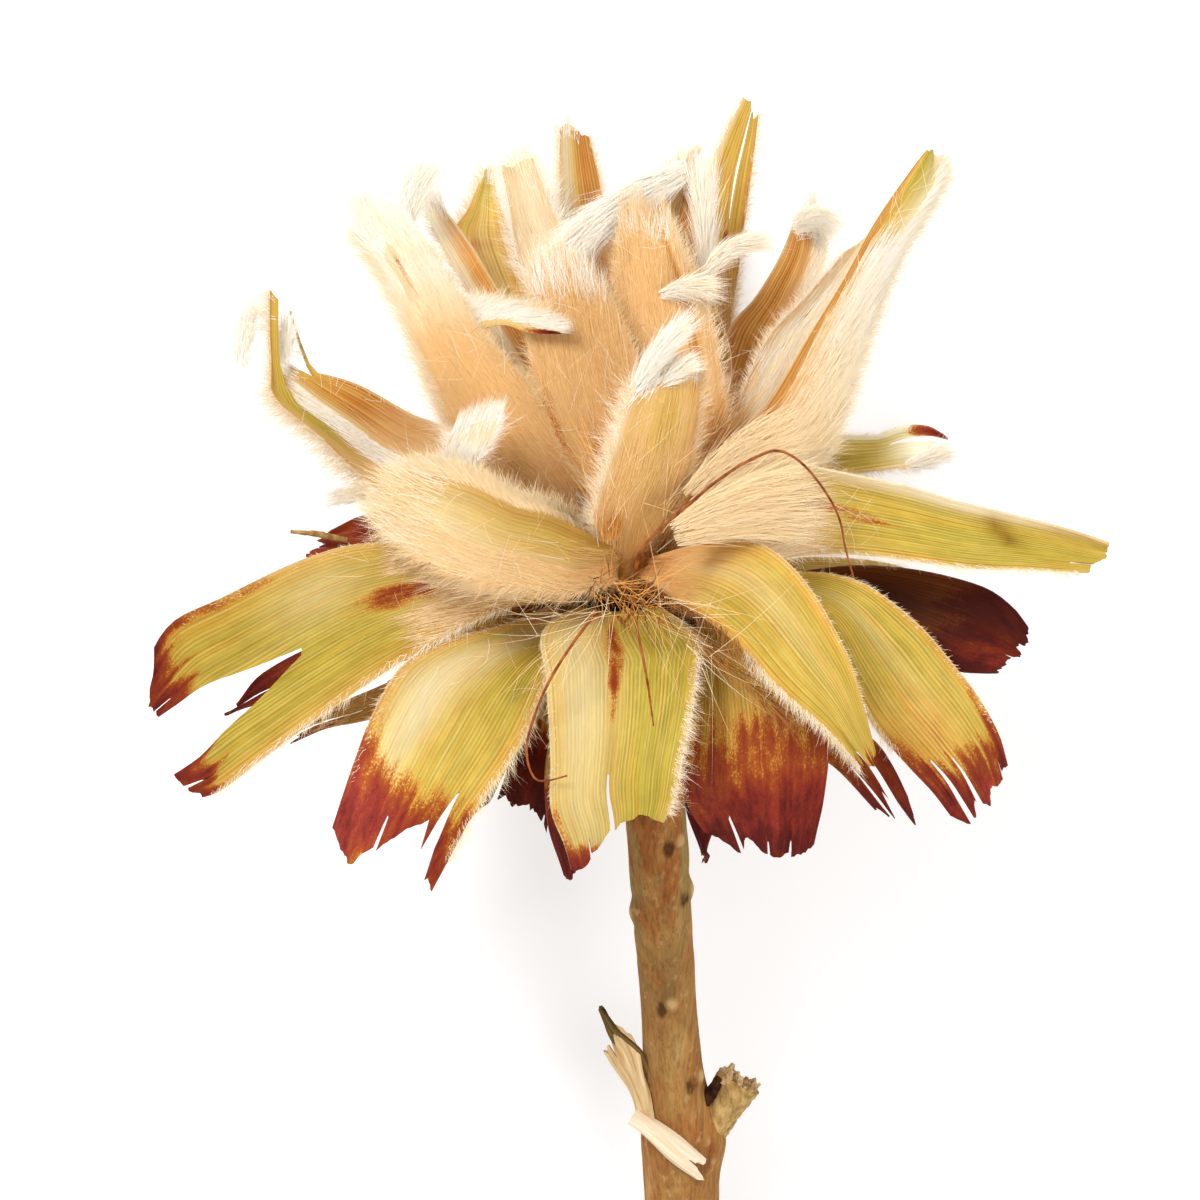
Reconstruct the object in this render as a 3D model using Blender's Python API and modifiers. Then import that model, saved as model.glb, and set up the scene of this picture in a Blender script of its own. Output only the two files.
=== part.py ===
"""Dried protea flower head on its cut stem, laid down on a surface.

Lengths are in millimetres until a shape is written, then in metres.
The flower is set out from the middle of its receptacle: x to the right, y towards the top
of the head, z up from the surface it lies on.
"""
import math

import bmesh
import bpy
from mathutils import Matrix, Vector

# ---- driving dimensions -------------------------------------------------------------
MM = 0.001
STEM_RISE = 19.5          # degrees the stem climbs from its cut end to the head
STEM_LEAN = 4.0           # degrees the stem leans sideways
HEAD_HEIGHT = 39.0        # middle of the receptacle above the surface
RECEPTACLE_RADIUS = 10.5
RECEPTACLE_HALF = 10.0    # half its height, along the stem
SEAT_GAP = 0.3            # between a bract's foot and the receptacle
BRACT_THICK = 0.9
STEM_RADIUS = 3.65
STEM_REACH = 99.0         # from the receptacle's middle to the cut end, along y
STYLE_RADIUS = 0.35

# height of each ring of bract feet above the receptacle's middle, along the stem
RING = {"foot": -6.6, "low": -3.2, "middle": 0.2, "high": 3.6, "crown": 7.0, "heart": 9.2}

AXIS = Vector((-math.sin(math.radians(STEM_LEAN)) * math.cos(math.radians(STEM_RISE)),
               math.cos(math.radians(STEM_LEAN)) * math.cos(math.radians(STEM_RISE)),
               math.sin(math.radians(STEM_RISE))))
FRONT = (Vector((0, 0, 1)) - AXIS * AXIS.z).normalized()
SIDE = AXIS.cross(FRONT)

# ---- the bracts ---------------------------------------------------------------------
# ring and clock: where the foot sits (0 right, 90 up from the surface, 180 left, 270 down)
# middle and tip: points the bract's centre line passes through
# wide: width at the foot, one third, two thirds and the end
# face: which way the smooth inner face looks beyond the foot
# cup: how far the edges stand up over the middle, as a part of the half width
# end: how far each strip of the tip reaches past or stops short of the tip point
# hook: how far the last fifth is bent aside
# split: where across, how far along it starts, and how wide it opens
BRACTS = [
    dict(name="bract_front_centre", ring="low", clock=93, face=(0, 0.35, 1), middle=(0, -14, 27),
         tip=(-1.2, -33, 27), wide=(5, 16, 17.5, 12), cup=0.06,
         end=(-5.5, -4.5, -4.5, -1.5, 0.8, -3), split=(0.0, 0.8, 0.7), skin="olive_bract"),
    dict(name="bract_front_left", ring="low", clock=130, face=(0.05, 0.3, 1),
         middle=(-18.8, -14.5, 22.5), tip=(-27.2, -31, 22), wide=(5, 15, 16.5, 14.5), cup=0.1,
         end=(3.5, 3.5, -2.5, -2.5, 1, -2), split=(-0.64, 0.68, 1.2), skin="olive_bract"),
    dict(name="bract_front_right", ring="low", clock=60, face=(-0.1, 0.25, 1),
         middle=(14.3, -16, 20.5), tip=(17.2, -32.5, 18), wide=(5, 15, 17.5, 15), cup=0.08,
         end=(-4, -0.5, -3.5, 0, -5), skin="red_bract"),
    dict(name="bract_arching", ring="high", clock=58, face=(0.4, 0.4, 0.85), middle=(19.5, -4, 32),
         tip=(29.8, -22, 30.5), wide=(4.5, 9.5, 10.5, 3), cup=-0.1, end=(-3, -1, 0, -1, -2.5),
         skin="olive_bract"),
    dict(name="bract_right_low", ring="middle", clock=45, face=(0.2, 0.3, 1),
         middle=(28.5, -5.5, 20), tip=(42, -20.5, 16), wide=(5, 11, 12, 10.5), cup=-0.05,
         end=(-1, 0.5, -2.5, 2.5, 1), skin="olive_bract"),
    dict(name="bract_right_dark", ring="low", clock=12, face=(0.1, 0.2, 0.9),
         middle=(29, -2, 9), tip=(46.5, -6.5, 10),
         wide=(5, 10, 12, 10), cup=0.1, end=(-3, 0, 1, 0, -2), skin="red_bract"),
    dict(name="bract_right_long", ring="high", clock=28, face=(0, 0.4, 0.9), middle=(31, 6.9, 17),
         tip=(57.5, 3.1, 12), wide=(5, 10.8, 7.8, 4.2), cup=0.14, end=(-3, -1, 0, 0, -2),
         skin="olive_bract"),
    dict(name="bract_right_small", ring="high", clock=352, face=(0, 0.5, 0.8), middle=(27, 14, 4),
         tip=(38, 17.3, 3), wide=(4, 6.5, 6, 4.5), cup=0.2, end=(-1, 1, -3, 1, 0),
         skin="olive_bract"),
    dict(name="bract_right_strips", ring="foot", clock=40, face=(0, 0.3, 0.9), middle=(21, -18, 12),
         tip=(33, -27.2, 11), wide=(4.5, 8, 9, 8), cup=0.05, end=(-2, 1, -4, 0, -3),
         skin="red_bract"),
    dict(name="bract_left_forked", ring="middle", clock=128, face=(-0.1, 0.45, 0.9),
         middle=(-30.5, -2.8, 23), tip=(-52.3, -16.8, 16), wide=(5, 14, 17, 19), cup=0.08,
         end=(-1, 0, -3, -3.5, -1, 0), split=(-0.25, 0.58, 8.0), skin="olive_bract"),
    dict(name="bract_left_maroon", ring="middle", clock=187, face=(0, 0.3, 0.9),
         middle=(-24, 4, -1), tip=(-36.5, 2.5, -3), wide=(4.5, 8, 8, 6), cup=0.1,
         end=(-3, 0, 1, -1, -3), skin="red_bract"),
    dict(name="bract_left_fragment", ring="low", clock=164, face=(0, 0.3, 0.9),
         middle=(-27, -6.5, 3), tip=(-46, -15, 3), wide=(4.5, 7, 6, 3), cup=0.08,
         end=(-2, 0, -1, 0, -2), skin="red_bract"),
    dict(name="bract_left_under", ring="foot", clock=151, face=(0, 0.3, 0.9),
         middle=(-23, -13.5, 11), tip=(-38.5, -16.5, 11), wide=(4.5, 7, 6.5, 4), cup=0.08,
         end=(-2, 0, -2, 0, -1), skin="red_bract"),
    dict(name="bract_low_maroon", ring="foot", clock=122, face=(0, 0.3, 0.9),
         middle=(-12, -20, 10.5), tip=(-14, -29, 10), wide=(4.5, 8, 9, 8), cup=0.06,
         end=(-1, 0, -2, 0, -1), skin="red_bract"),
    dict(name="bract_low_narrow", ring="foot", clock=95, face=(0, 0.3, 0.9),
         middle=(-3.2, -22, 16), tip=(-6.6, -35, 16.5), wide=(4, 5, 5, 3), cup=0.06,
         end=(-2, 0, 0, -1, -3), skin="red_bract"),
    dict(name="bract_low_sliver", ring="foot", clock=68, face=(0, 0.3, 0.9), middle=(7.5, -21, 11),
         tip=(9.8, -32.5, 10), wide=(4, 5, 4.5, 2.5), cup=0.06, end=(-2, 0, 0, -1, -2),
         skin="red_bract"),
    dict(name="bract_upright_front", ring="high", clock=86, face=(0, 0.35, -0.9),
         middle=(1.8, 11, 26), tip=(5.3, 26, 30), wide=(5, 11, 10, 8), cup=0.15,
         end=(-1, 1, 1.5, 1, 0), skin="woolly_bract"),
    dict(name="bract_left_rolled", ring="high", clock=113, face=(0.25, 0.6, -0.75),
         middle=(-12.5, 3.8, 27), tip=(-23.5, 12.3, 27), wide=(5, 12, 12, 9), cup=0.16,
         end=(-1, 0, 0, 0, -1), skin="woolly_bract"),
    dict(name="bract_white_brush", ring="high", clock=141, face=(0, 0.3, -1),
         middle=(-15, 8.5, 19.5), tip=(-15.6, 21.5, 24), wide=(3.5, 4, 6, 5), cup=0.1,
         skin="woolly_bract"),
    dict(name="bract_left_hooked", ring="high", clock=170, face=(0.2, 0.75, 0.6),
         middle=(-27, 14, 9), tip=(-43.2, 24.5, 9), wide=(4.5, 10.5, 12.5, 10), cup=0.2,
         end=(1, -1, -2, -3, -2, -1), hook=(1.5, 8, 1), split=(0.0, 0.8, 4.0), skin="woolly_bract"),
    dict(name="bract_left_broad", ring="crown", clock=148, face=(0.5, 0.3, -0.8),
         middle=(-15, 21.5, 18), tip=(-28, 42.5, 17), wide=(4, 11, 12, 9), cup=0.15,
         end=(3, 1, 0, 0, -1), skin="woolly_bract"),
    dict(name="bract_left_strip", ring="crown", clock=172, face=(0.6, 0.1, 0.8),
         middle=(-18, 27, 7), tip=(-25.5, 44.5, 8), wide=(4, 7, 7, 5), cup=0.2,
         end=(0, 1, 0, 0, -1), skin="woolly_bract"),
    dict(name="bract_peach_left", ring="crown", clock=113, face=(0.2, 0.1, -1),
         middle=(-5.7, 21, 16.5), tip=(-7, 37.5, 16), wide=(4, 9, 9.5, 8), cup=0.12,
         end=(-1, 0, 1, 0, -1), skin="woolly_bract"),
    dict(name="bract_peach_right", ring="crown", clock=80, face=(0.15, 0.1, -1),
         middle=(3.2, 22, 12), tip=(3.4, 43, 10), wide=(4, 7.6, 8.5, 7), cup=0.12,
         end=(-1, 0, 1, 0, -1), skin="woolly_bract"),
    dict(name="bract_upper_right", ring="crown", clock=46, face=(-0.55, 0.15, -0.8),
         middle=(22.5, 24, 14), tip=(37.2, 51.6, 11), wide=(4.5, 9, 8, 3), cup=0.15,
         end=(-3, 0, 0, -1, -3), skin="woolly_bract"),
    dict(name="bract_upper_right_back", ring="crown", clock=17, face=(-0.7, 0.1, 0.65),
         middle=(18.5, 25, 8), tip=(30, 43.5, 7), wide=(4, 7, 7, 3.5), cup=0.12,
         end=(-2, 0, 0, -1, -3), skin="olive_bract"),
    dict(name="bract_orange_fold", ring="crown", clock=348, face=(-0.45, 0.1, 0.85),
         middle=(12.8, 25, -2.5), tip=(22.5, 44.5, -3.5), wide=(4, 6, 6, 5), cup=0.2,
         end=(0, 0, 0.5, 0, 0), skin="olive_bract"),
    dict(name="bract_top_pair", ring="crown", clock=320, face=(-0.4, 0.1, 0.9),
         middle=(10, 33, -9.5), tip=(15.2, 58.5, -12), wide=(4, 6, 6, 3.6), cup=0.12,
         end=(-1, 0.5, -1, -4, -2, -3), split=(0.1, 0.86, 0.8), skin="olive_bract"),
    dict(name="bract_bearded", ring="heart", clock=35, face=(-0.3, 0.1, 0.95), middle=(6.5, 29, 4),
         tip=(8.6, 50, 2), wide=(3.5, 6.5, 7, 4), cup=0.12, end=(-1, 0, 0, 0, -1),
         skin="woolly_bract"),
    dict(name="bract_top_brown", ring="heart", clock=270, face=(0, 0.1, 1), middle=(-3, 33, -7),
         tip=(-5.2, 55.5, -10), wide=(3.5, 6, 6, 4.6), cup=0.14, end=(-1, 0, 0, 0, -1),
         skin="olive_bract"),
    dict(name="bract_top_cream", ring="heart", clock=160, face=(0.4, 0.1, 0.9), middle=(-9.5, 30, 5),
         tip=(-12.5, 50.5, 2), wide=(3.5, 6, 6, 4.5), cup=0.14, end=(-1, 0, 0, 0, -1),
         skin="woolly_bract"),
    dict(name="bract_curled_sliver", ring="heart", clock=110, face=(-0.3, 0.5, -0.8),
         middle=(-18.9, 29.9, 13.7), tip=(-7.5, 30, 20.5), wide=(3, 4, 4, 1.6), cup=0.2,
         skin="woolly_bract"),
    dict(name="bract_golden", ring="crown", clock=197, face=(0.45, 0.15, 0.9), middle=(-14, 29, -2),
         tip=(-16, 50, -5), wide=(4, 9, 9.5, 3.4), cup=0.12, end=(-3, -1, 0, -1, -3),
         skin="olive_bract"),
    # the side it lies on
    dict(name="bract_under_1", ring="foot", clock=198, middle=(-20, -9, -8), tip=(-31, -15, -12),
         wide=(4.5, 8, 9, 6), end=(-2, 0, -1, 0, -2), skin="red_bract"),
    dict(name="bract_under_2", ring="foot", clock=238, middle=(-13, -8, -21), tip=(-19, -15, -31),
         wide=(4.5, 9, 10, 7), end=(-2, 0, -1, 0, -2), skin="red_bract"),
    dict(name="bract_under_3", ring="foot", clock=282, middle=(8, -7, -22), tip=(13, -14, -34),
         wide=(4.5, 9, 10, 7), end=(-1, 0, -2, 0, -2), skin="red_bract"),
    dict(name="bract_under_4", ring="foot", clock=325, middle=(20, -9, -10), tip=(31, -15, -16),
         wide=(4.5, 9, 9, 6), end=(-2, 0, -1, 0, -2), skin="red_bract"),
    dict(name="bract_under_5", ring="low", clock=207, middle=(-26, -1, -9), tip=(-41, -5, -15),
         wide=(4.5, 9, 9, 6), end=(-2, 0, -1, 0, -2), skin="red_bract"),
    dict(name="bract_under_6", ring="low", clock=250, middle=(-12, 2, -25), tip=(-19, 5, -39),
         wide=(4.5, 10, 10, 7), end=(-2, 0, -1, 0, -2), skin="olive_bract", rest=True),
    dict(name="bract_under_7", ring="low", clock=300, middle=(14, 1, -25), tip=(23, 3, -39),
         wide=(4.5, 10, 10, 7), end=(-2, 0, -1, 0, -2), skin="olive_bract", rest=True),
    dict(name="bract_under_8", ring="low", clock=340, middle=(28, 1, -7), tip=(43, -3, -12),
         wide=(4.5, 9, 9, 6), end=(-2, 0, -1, 0, -2), skin="red_bract"),
    dict(name="bract_under_9", ring="middle", clock=226, middle=(-20, 9, -17), tip=(-32, 15, -28),
         wide=(4.5, 9, 9, 6), end=(-2, 0, -1, 0, -2), skin="olive_bract"),
    dict(name="bract_under_10", ring="middle", clock=272, middle=(1, 10, -26), tip=(2, 19, -39),
         wide=(4.5, 10, 10, 7), end=(-2, 0, -1, 0, -2), skin="olive_bract", rest=True),
    dict(name="bract_under_11", ring="middle", clock=318, middle=(19, 9, -18), tip=(29, 12, -29),
         wide=(4.5, 9, 9, 6), end=(-2, 0, -1, 0, -2), skin="olive_bract"),
    dict(name="bract_under_12", ring="high", clock=207, middle=(-21, 14, -9), tip=(-32.5, 20, -13),
         wide=(4.5, 8, 8, 5), end=(-2, 0, -1, 0, -2), skin="woolly_bract"),
    dict(name="bract_under_13", ring="high", clock=243, middle=(-13, 20, -23), tip=(-19, 33, -39),
         wide=(4.5, 9, 9, 6), end=(-2, 0, -1, 0, -2), skin="woolly_bract", rest=True),
    dict(name="bract_under_14", ring="high", clock=285, middle=(7, 22, -24), tip=(11, 36, -39),
         wide=(4.5, 9, 9, 6), end=(-2, 0, -1, 0, -2), skin="woolly_bract", rest=True),
    dict(name="bract_under_15", ring="high", clock=322, middle=(18, 19, -12), tip=(26, 31, -19),
         wide=(4.5, 8, 8, 5), end=(-2, 0, -1, 0, -2), skin="woolly_bract"),
    dict(name="bract_under_16", ring="crown", clock=292, middle=(5, 31, -16), tip=(8, 51, -24),
         wide=(4, 7, 7, 4), end=(-2, 0, -1, 0, -2), skin="woolly_bract"),
    dict(name="bract_under_17", ring="crown", clock=256, middle=(-4, 31, -18), tip=(-5.5, 50, -27),
         wide=(4, 7, 7, 4), end=(-2, 0, -1, 0, -2), skin="woolly_bract"),
    dict(name="bract_under_18", ring="crown", clock=225, middle=(-11, 26, -10), tip=(-16, 42, -16),
         wide=(4, 7, 7, 4), end=(-2, 0, -1, 0, -2), skin="woolly_bract"),
]

STYLES = [
    dict(name="style_long", radius=STYLE_RADIUS,
         path=[(1.3, -3.2, 10.7), (1.5, -1.6, 22), (3, 4.5, 33.5), (8, 9.8, 37.5),
               (13.5, 13.5, 38.5), (19, 15.8, 37.5), (22, 14, 36.5), (24.6, 10.5, 35.5),
               (26.1, 6, 34), (27, 1, 33)]),
    dict(name="style_short", radius=STYLE_RADIUS,
         path=[(-0.8, -3.4, 10.8), (0.2, -4.4, 26), (1.6, -8.5, 32.5), (3.6, -17, 32.5)]),
    dict(name="style_hooked", radius=STYLE_RADIUS,
         path=[(-3.4, -3.2, 10.3), (-3.6, -3.9, 25), (-6.8, -8.5, 32), (-9, -13, 31.5),
               (-11, -18, 30), (-10.6, -22.4, 30), (-8.7, -23.2, 30.6), (-6.4, -22.5, 31)]),
]

COLOURS = {
    "olive_bract": ((0.52, 0.44, 0.10), 0.55),
    "woolly_bract": ((0.78, 0.58, 0.34), 0.9),
    "red_bract": ((0.24, 0.04, 0.015), 0.6),
    "stem_bark": ((0.33, 0.19, 0.09), 0.85),
    "receptacle_wood": ((0.16, 0.08, 0.035), 0.9),
    "style_skin": ((0.38, 0.13, 0.05), 0.5),
}


# ---- small tools --------------------------------------------------------------------
def clear_scene():
    for item in list(bpy.data.objects):
        bpy.data.objects.remove(item, do_unlink=True)


def make_materials():
    made = {}
    for name, (colour, rough) in COLOURS.items():
        material = bpy.data.materials.new(name)
        material.use_nodes = True
        shader = material.node_tree.nodes["Principled BSDF"]
        shader.inputs["Base Color"].default_value = (*colour, 1)
        shader.inputs["Roughness"].default_value = rough
        shader.inputs["Metallic"].default_value = 0.0
        made[name] = material
    return made


def outward(clock):
    turn = math.radians(clock)
    return SIDE * math.cos(turn) + FRONT * math.sin(turn)


def receptacle_radius(height):
    return RECEPTACLE_RADIUS * (1 - abs(height / RECEPTACLE_HALF) ** 3) ** (1 / 3)


def foot_point(row):
    """Where the foot's middle sits, just off the receptacle's skin."""
    height = RING[row["ring"]]
    radius = receptacle_radius(height)
    out = outward(row["clock"])
    skin = AXIS * height + out * radius
    up = height * abs(height) / RECEPTACLE_HALF ** 3
    normal = (out * (radius ** 2 / RECEPTACLE_RADIUS ** 3) + AXIS * up).normalized()
    foot = skin
    for _ in range(2):
        control = Vector(row["middle"]) * 2 - (foot + Vector(row["tip"])) * 0.5
        way = (control - foot).normalized()
        face = blade_face(row, way, 0)
        beside = way.cross(face)
        away = abs(face.dot(normal)) * BRACT_THICK * 0.5
        away += abs(beside.dot(normal)) * row["wide"][0] * 0.5
        foot = skin + normal * (SEAT_GAP + away)
    return foot


def blend(values, along):
    """Smooth value read from evenly spaced ones."""
    place = min(max(along, 0), 0.9999) * (len(values) - 1)
    step = int(place)
    part = place - step
    part = part * part * (3 - 2 * part)
    return values[step] * (1 - part) + values[step + 1] * part


def add_solid(name, bm, material, home):
    mesh = bpy.data.meshes.new(name)
    bmesh.ops.recalc_face_normals(bm, faces=bm.faces)
    bm.to_mesh(mesh)
    bm.free()
    item = bpy.data.objects.new(name, mesh)
    mesh.materials.append(material)
    home.objects.link(item)
    return item


# ---- bracts -------------------------------------------------------------------------
def blade_face(row, way, along):
    """Which way the smooth inner face looks; the foot always looks up the flower's axis."""
    home_face = AXIS - outward(row["clock"]) * 0.5
    first = (home_face - way * home_face.dot(way)).normalized()
    goal = Vector(row.get("face", home_face))
    goal = (goal - way * goal.dot(way)).normalized()
    ease = min(1, along / 0.42)
    if ease == 1:
        return goal
    ease = ease * ease * (3 - 2 * ease)
    turn = math.atan2(way.dot(first.cross(goal)), first.dot(goal))
    return Matrix.Rotation(turn * ease, 3, way) @ first


def bract_point(row, foot, along, across, fall):
    """A point of the blade; along 0..1 (past 1 for a long strip), across -1..1."""
    middle, tip = Vector(row["middle"]), Vector(row["tip"])
    control = middle * 2 - (foot + tip) * 0.5
    t = along
    place = foot * (1 - t) ** 2 + control * (2 * t * (1 - t)) + tip * t ** 2
    way = ((control - foot) * (1 - t) + (tip - control) * t).normalized()
    face = blade_face(row, way, t)
    beside = way.cross(face)
    half = blend(row["wide"], t) * 0.5
    lift = row.get("cup", 0.08) * half * (across * across - 0.4) * blend((0.2, 1, 1, 1), t)
    point = place + beside * (across * half) + face * lift
    point.z += fall * t * t
    if "hook" in row:
        point += Vector(row["hook"]) * max(0, (t - 0.8) / 0.2) ** 2
    return point


def strips_across(row, along):
    split = row.get("split")
    if not split:
        return [-1, -0.5, 0, 0.5, 1]
    place, start, opening = split
    half = blend(row["wide"], along) * 0.5
    open_by = 0.25 if along <= start else 0.25 + opening * (along - start) / (1 - start)
    low, high = place - open_by * 0.5 / half, place + open_by * 0.5 / half
    return [-1, (low - 1) / 2, low, high, (high + 1) / 2, 1]


def build_bract(row, material, home):
    long_cells = 10
    foot = foot_point(row)
    length = (Vector(row["middle"]) - foot).length + (Vector(row["tip"])
                                                     - Vector(row["middle"])).length
    wide_cells = 5 if row.get("split") else 4
    end = row.get("end", (0,) * (wide_cells + 1))

    def shape(fall):
        bm = bmesh.new()
        bmesh.ops.create_grid(bm, x_segments=wide_cells, y_segments=long_cells, size=0.5)
        for vert in bm.verts:
            column = round((vert.co.x + 0.5) * wide_cells)
            along = (vert.co.y + 0.5) * (1 + end[column] / length)
            across = strips_across(row, along)[column]
            vert.co = bract_point(row, foot, along, across, fall)
        return bm

    bm = shape(0)
    if row.get("rest"):
        lowest = min(vert.co.z for vert in bm.verts) - BRACT_THICK * 0.5
        bm.free()
        bm = shape(-HEAD_HEIGHT - lowest)
    if row.get("split"):
        start = row["split"][1]
        bm.faces.ensure_lookup_table()
        gone = []
        for number, part in enumerate(bm.faces):
            column, line = number % wide_cells, number // wide_cells
            if column == 2 and line >= round(start * long_cells):
                gone.append(part)
        bmesh.ops.delete(bm, geom=gone, context="FACES")
    bmesh.ops.scale(bm, vec=(MM, MM, MM), verts=bm.verts)
    item = add_solid(row["name"], bm, material, home)
    solid = item.modifiers.new("thickness", "SOLIDIFY")
    solid.thickness = BRACT_THICK * MM
    solid.offset = 0
    solid.use_even_offset = False
    return item


# ---- receptacle, stem, styles -------------------------------------------------------
def turn_to_axis(bm, lift):
    spin = Matrix((SIDE, FRONT, AXIS)).transposed().to_4x4()
    bmesh.ops.transform(bm, matrix=spin @ Matrix.Translation((0, 0, lift)), verts=bm.verts)


def build_receptacle(material, home):
    bm = bmesh.new()
    heights = [10, 9.6, 8.4, 6.2, 3.2, 0, -3.2, -6.2, -8.4, -9.4]
    rings = [bm.verts.new((max(receptacle_radius(h), 0.0), 0, h)) for h in heights]
    rings[0].co.x = 0
    rings.append(bm.verts.new((0, 0, heights[-1])))
    for first, second in zip(rings, rings[1:]):
        bm.edges.new((first, second))
    bmesh.ops.spin(bm, geom=list(bm.verts) + list(bm.edges), cent=(0, 0, 0), axis=(0, 0, 1),
                   angle=math.tau, steps=20, use_merge=True)
    bmesh.ops.remove_doubles(bm, verts=bm.verts, dist=0.01)
    turn_to_axis(bm, 0)
    bmesh.ops.scale(bm, vec=(MM, MM, MM), verts=bm.verts)
    return add_solid("receptacle", bm, material, home)


def tube(name, points, radii, home, sides=10, smooth=True):
    """Closed tube along the points, from a curve with a round bevel."""
    curve = bpy.data.curves.new(name, "CURVE")
    curve.dimensions = "3D"
    curve.bevel_depth = MM
    curve.bevel_resolution = max(0, sides // 2 - 2)
    curve.use_fill_caps = True
    spline = curve.splines.new("POLY")
    spline.points.add(len(points) - 1)
    for point, place, radius in zip(spline.points, points, radii):
        point.co = (*(Vector(place) * MM), 1)
        point.radius = radius
    holder = bpy.data.objects.new(name + "_curve", curve)
    home.objects.link(holder)
    bpy.context.view_layer.update()
    mesh = bpy.data.meshes.new_from_object(holder.evaluated_get(
        bpy.context.evaluated_depsgraph_get()))
    bpy.data.objects.remove(holder, do_unlink=True)
    bm = bmesh.new()
    bm.from_mesh(mesh)
    bmesh.ops.remove_doubles(bm, verts=bm.verts, dist=0.00001)
    bpy.data.meshes.remove(mesh)
    return bm


def smooth_path(points, steps):
    """Rounded path through the points."""
    points = [Vector(p) for p in points]
    padded = [points[0] * 2 - points[1]] + points + [points[-1] * 2 - points[-2]]
    path = []
    for index in range(1, len(padded) - 2):
        a, b, c, d = padded[index - 1:index + 3]
        for step in range(steps):
            t = step / steps
            path.append(0.5 * ((2 * b) + (c - a) * t + (2 * a - 5 * b + 4 * c - d) * t ** 2
                               + (3 * b - a - 3 * c + d) * t ** 3))
    path.append(points[-1])
    return path


def stem_point(down):
    """Middle of the stem this far below the receptacle's middle, along y."""
    sway = 2.1 * min(1, max(0, down - 9) / 16)
    slope = (HEAD_HEIGHT - STEM_RADIUS * 1.2) / STEM_REACH
    return Vector((0.07 * down + sway, -down, -slope * down))


def stem_radius(down):
    swell = 0.85 / (1 + math.exp(-(down - 63) / 2.5))
    return STEM_RADIUS - 0.3 * math.exp(-((down - 50) / 9) ** 2) + swell


def build_stem(material, home, cutters):
    top = AXIS * (-9.4 - SEAT_GAP)
    first = -top.y
    stations = [first + (STEM_REACH - first) * i / 17 for i in range(18)]
    points = [stem_point(s) + (top - stem_point(first)) * max(0, 1 - i / 5)
              for i, s in enumerate(stations)]
    points[0] = top
    points[1] = top - AXIS * 3.0
    bm = tube("stem", points, [stem_radius(s) for s in stations], home, sides=12)
    stem = add_solid("stem", bm, material, home)

    grown = []
    # stub of a cut side branch
    height = stem_point(64).z
    bm = tube("stub", [(8, -67.5, height), (12.3, -63, height + 1.2), (14.6, -58.8, height + 2)],
              [3.0, 2.5, 2.05], home, sides=10)
    grown.append(add_solid("stub", bm, material, cutters))
    # bark torn loose on the left, standing off at its top
    height = stem_point(58).z + 1.5
    bm = tube("splinter", [(4, -65, height), (1.4, -60.5, height), (-0.8, -56, height + 0.4),
                           (-1.5, -50.2, height + 1.2)], [1.0, 1.6, 1.9, 0.25], home, sides=8)
    for vert in bm.verts:
        vert.co.z = height * MM + (vert.co.z - height * MM) * 0.4
    grown.append(add_solid("splinter", bm, material, cutters))
    # pale peeled chip lying across the stem
    bm = bmesh.new()
    bmesh.ops.create_cube(bm, size=1)
    bmesh.ops.scale(bm, vec=(10.4, 2.3, 1.2), verts=bm.verts)
    for vert in bm.verts:
        if vert.co.x > 0:
            vert.co.y *= 1.3
    spot = stem_point(68.2) + Vector((-1.2, 0, stem_radius(68.2) - 0.1))
    bmesh.ops.transform(bm, matrix=Matrix.Translation(spot) @ Matrix.Rotation(
        math.radians(-39), 4, "Z") @ Matrix.Rotation(math.radians(8), 4, "Y"), verts=bm.verts)
    bmesh.ops.scale(bm, vec=(MM, MM, MM), verts=bm.verts)
    grown.append(add_solid("chip", bm, material, cutters))
    # knobs of old leaf scars
    for spot, turn in ((30, 0.8), (36.6, 0.3), (38.9, 2.85), (49.4, 1.7), (58.8, 0.45),
                       (76, 2.2), (86, 0.7)):
        bm = bmesh.new()
        bmesh.ops.create_icosphere(bm, subdivisions=1, radius=1.25)
        side = Vector((math.cos(turn), 0, math.sin(turn))) * (stem_radius(spot) - 0.35)
        bmesh.ops.scale(bm, vec=(0.8, 1.4, 0.8), verts=bm.verts)
        bmesh.ops.translate(bm, vec=stem_point(spot) + side, verts=bm.verts)
        bmesh.ops.scale(bm, vec=(MM, MM, MM), verts=bm.verts)
        grown.append(add_solid("knob", bm, material, cutters))
    for number, piece in enumerate(grown):
        piece.display_type = "WIRE"
        piece.hide_render = True
        join = stem.modifiers.new("grown_%d" % number, "BOOLEAN")
        join.operation = "UNION"
        join.solver = "EXACT"
        join.object = piece
    return stem


def build_style(row, material, home):
    path = smooth_path(row["path"], 3)
    radii = [row["radius"] * (1 - 0.35 * i / (len(path) - 1)) for i in range(len(path))]
    return add_solid(row["name"], tube(row["name"], path, radii, home, sides=6), material, home)


def stand_on_origin(items):
    """Put the finished flower's box over the origin, its underside at zero."""
    bpy.context.view_layer.update()
    graph = bpy.context.evaluated_depsgraph_get()
    corners = []
    for item in items:
        mesh = item.evaluated_get(graph).to_mesh()
        corners += [vert.co.copy() for vert in mesh.vertices]
    low = Vector([min(c[i] for c in corners) for i in range(3)])
    high = Vector([max(c[i] for c in corners) for i in range(3)])
    return Vector((-(low.x + high.x) / 2, -(low.y + high.y) / 2, -low.z))


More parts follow.
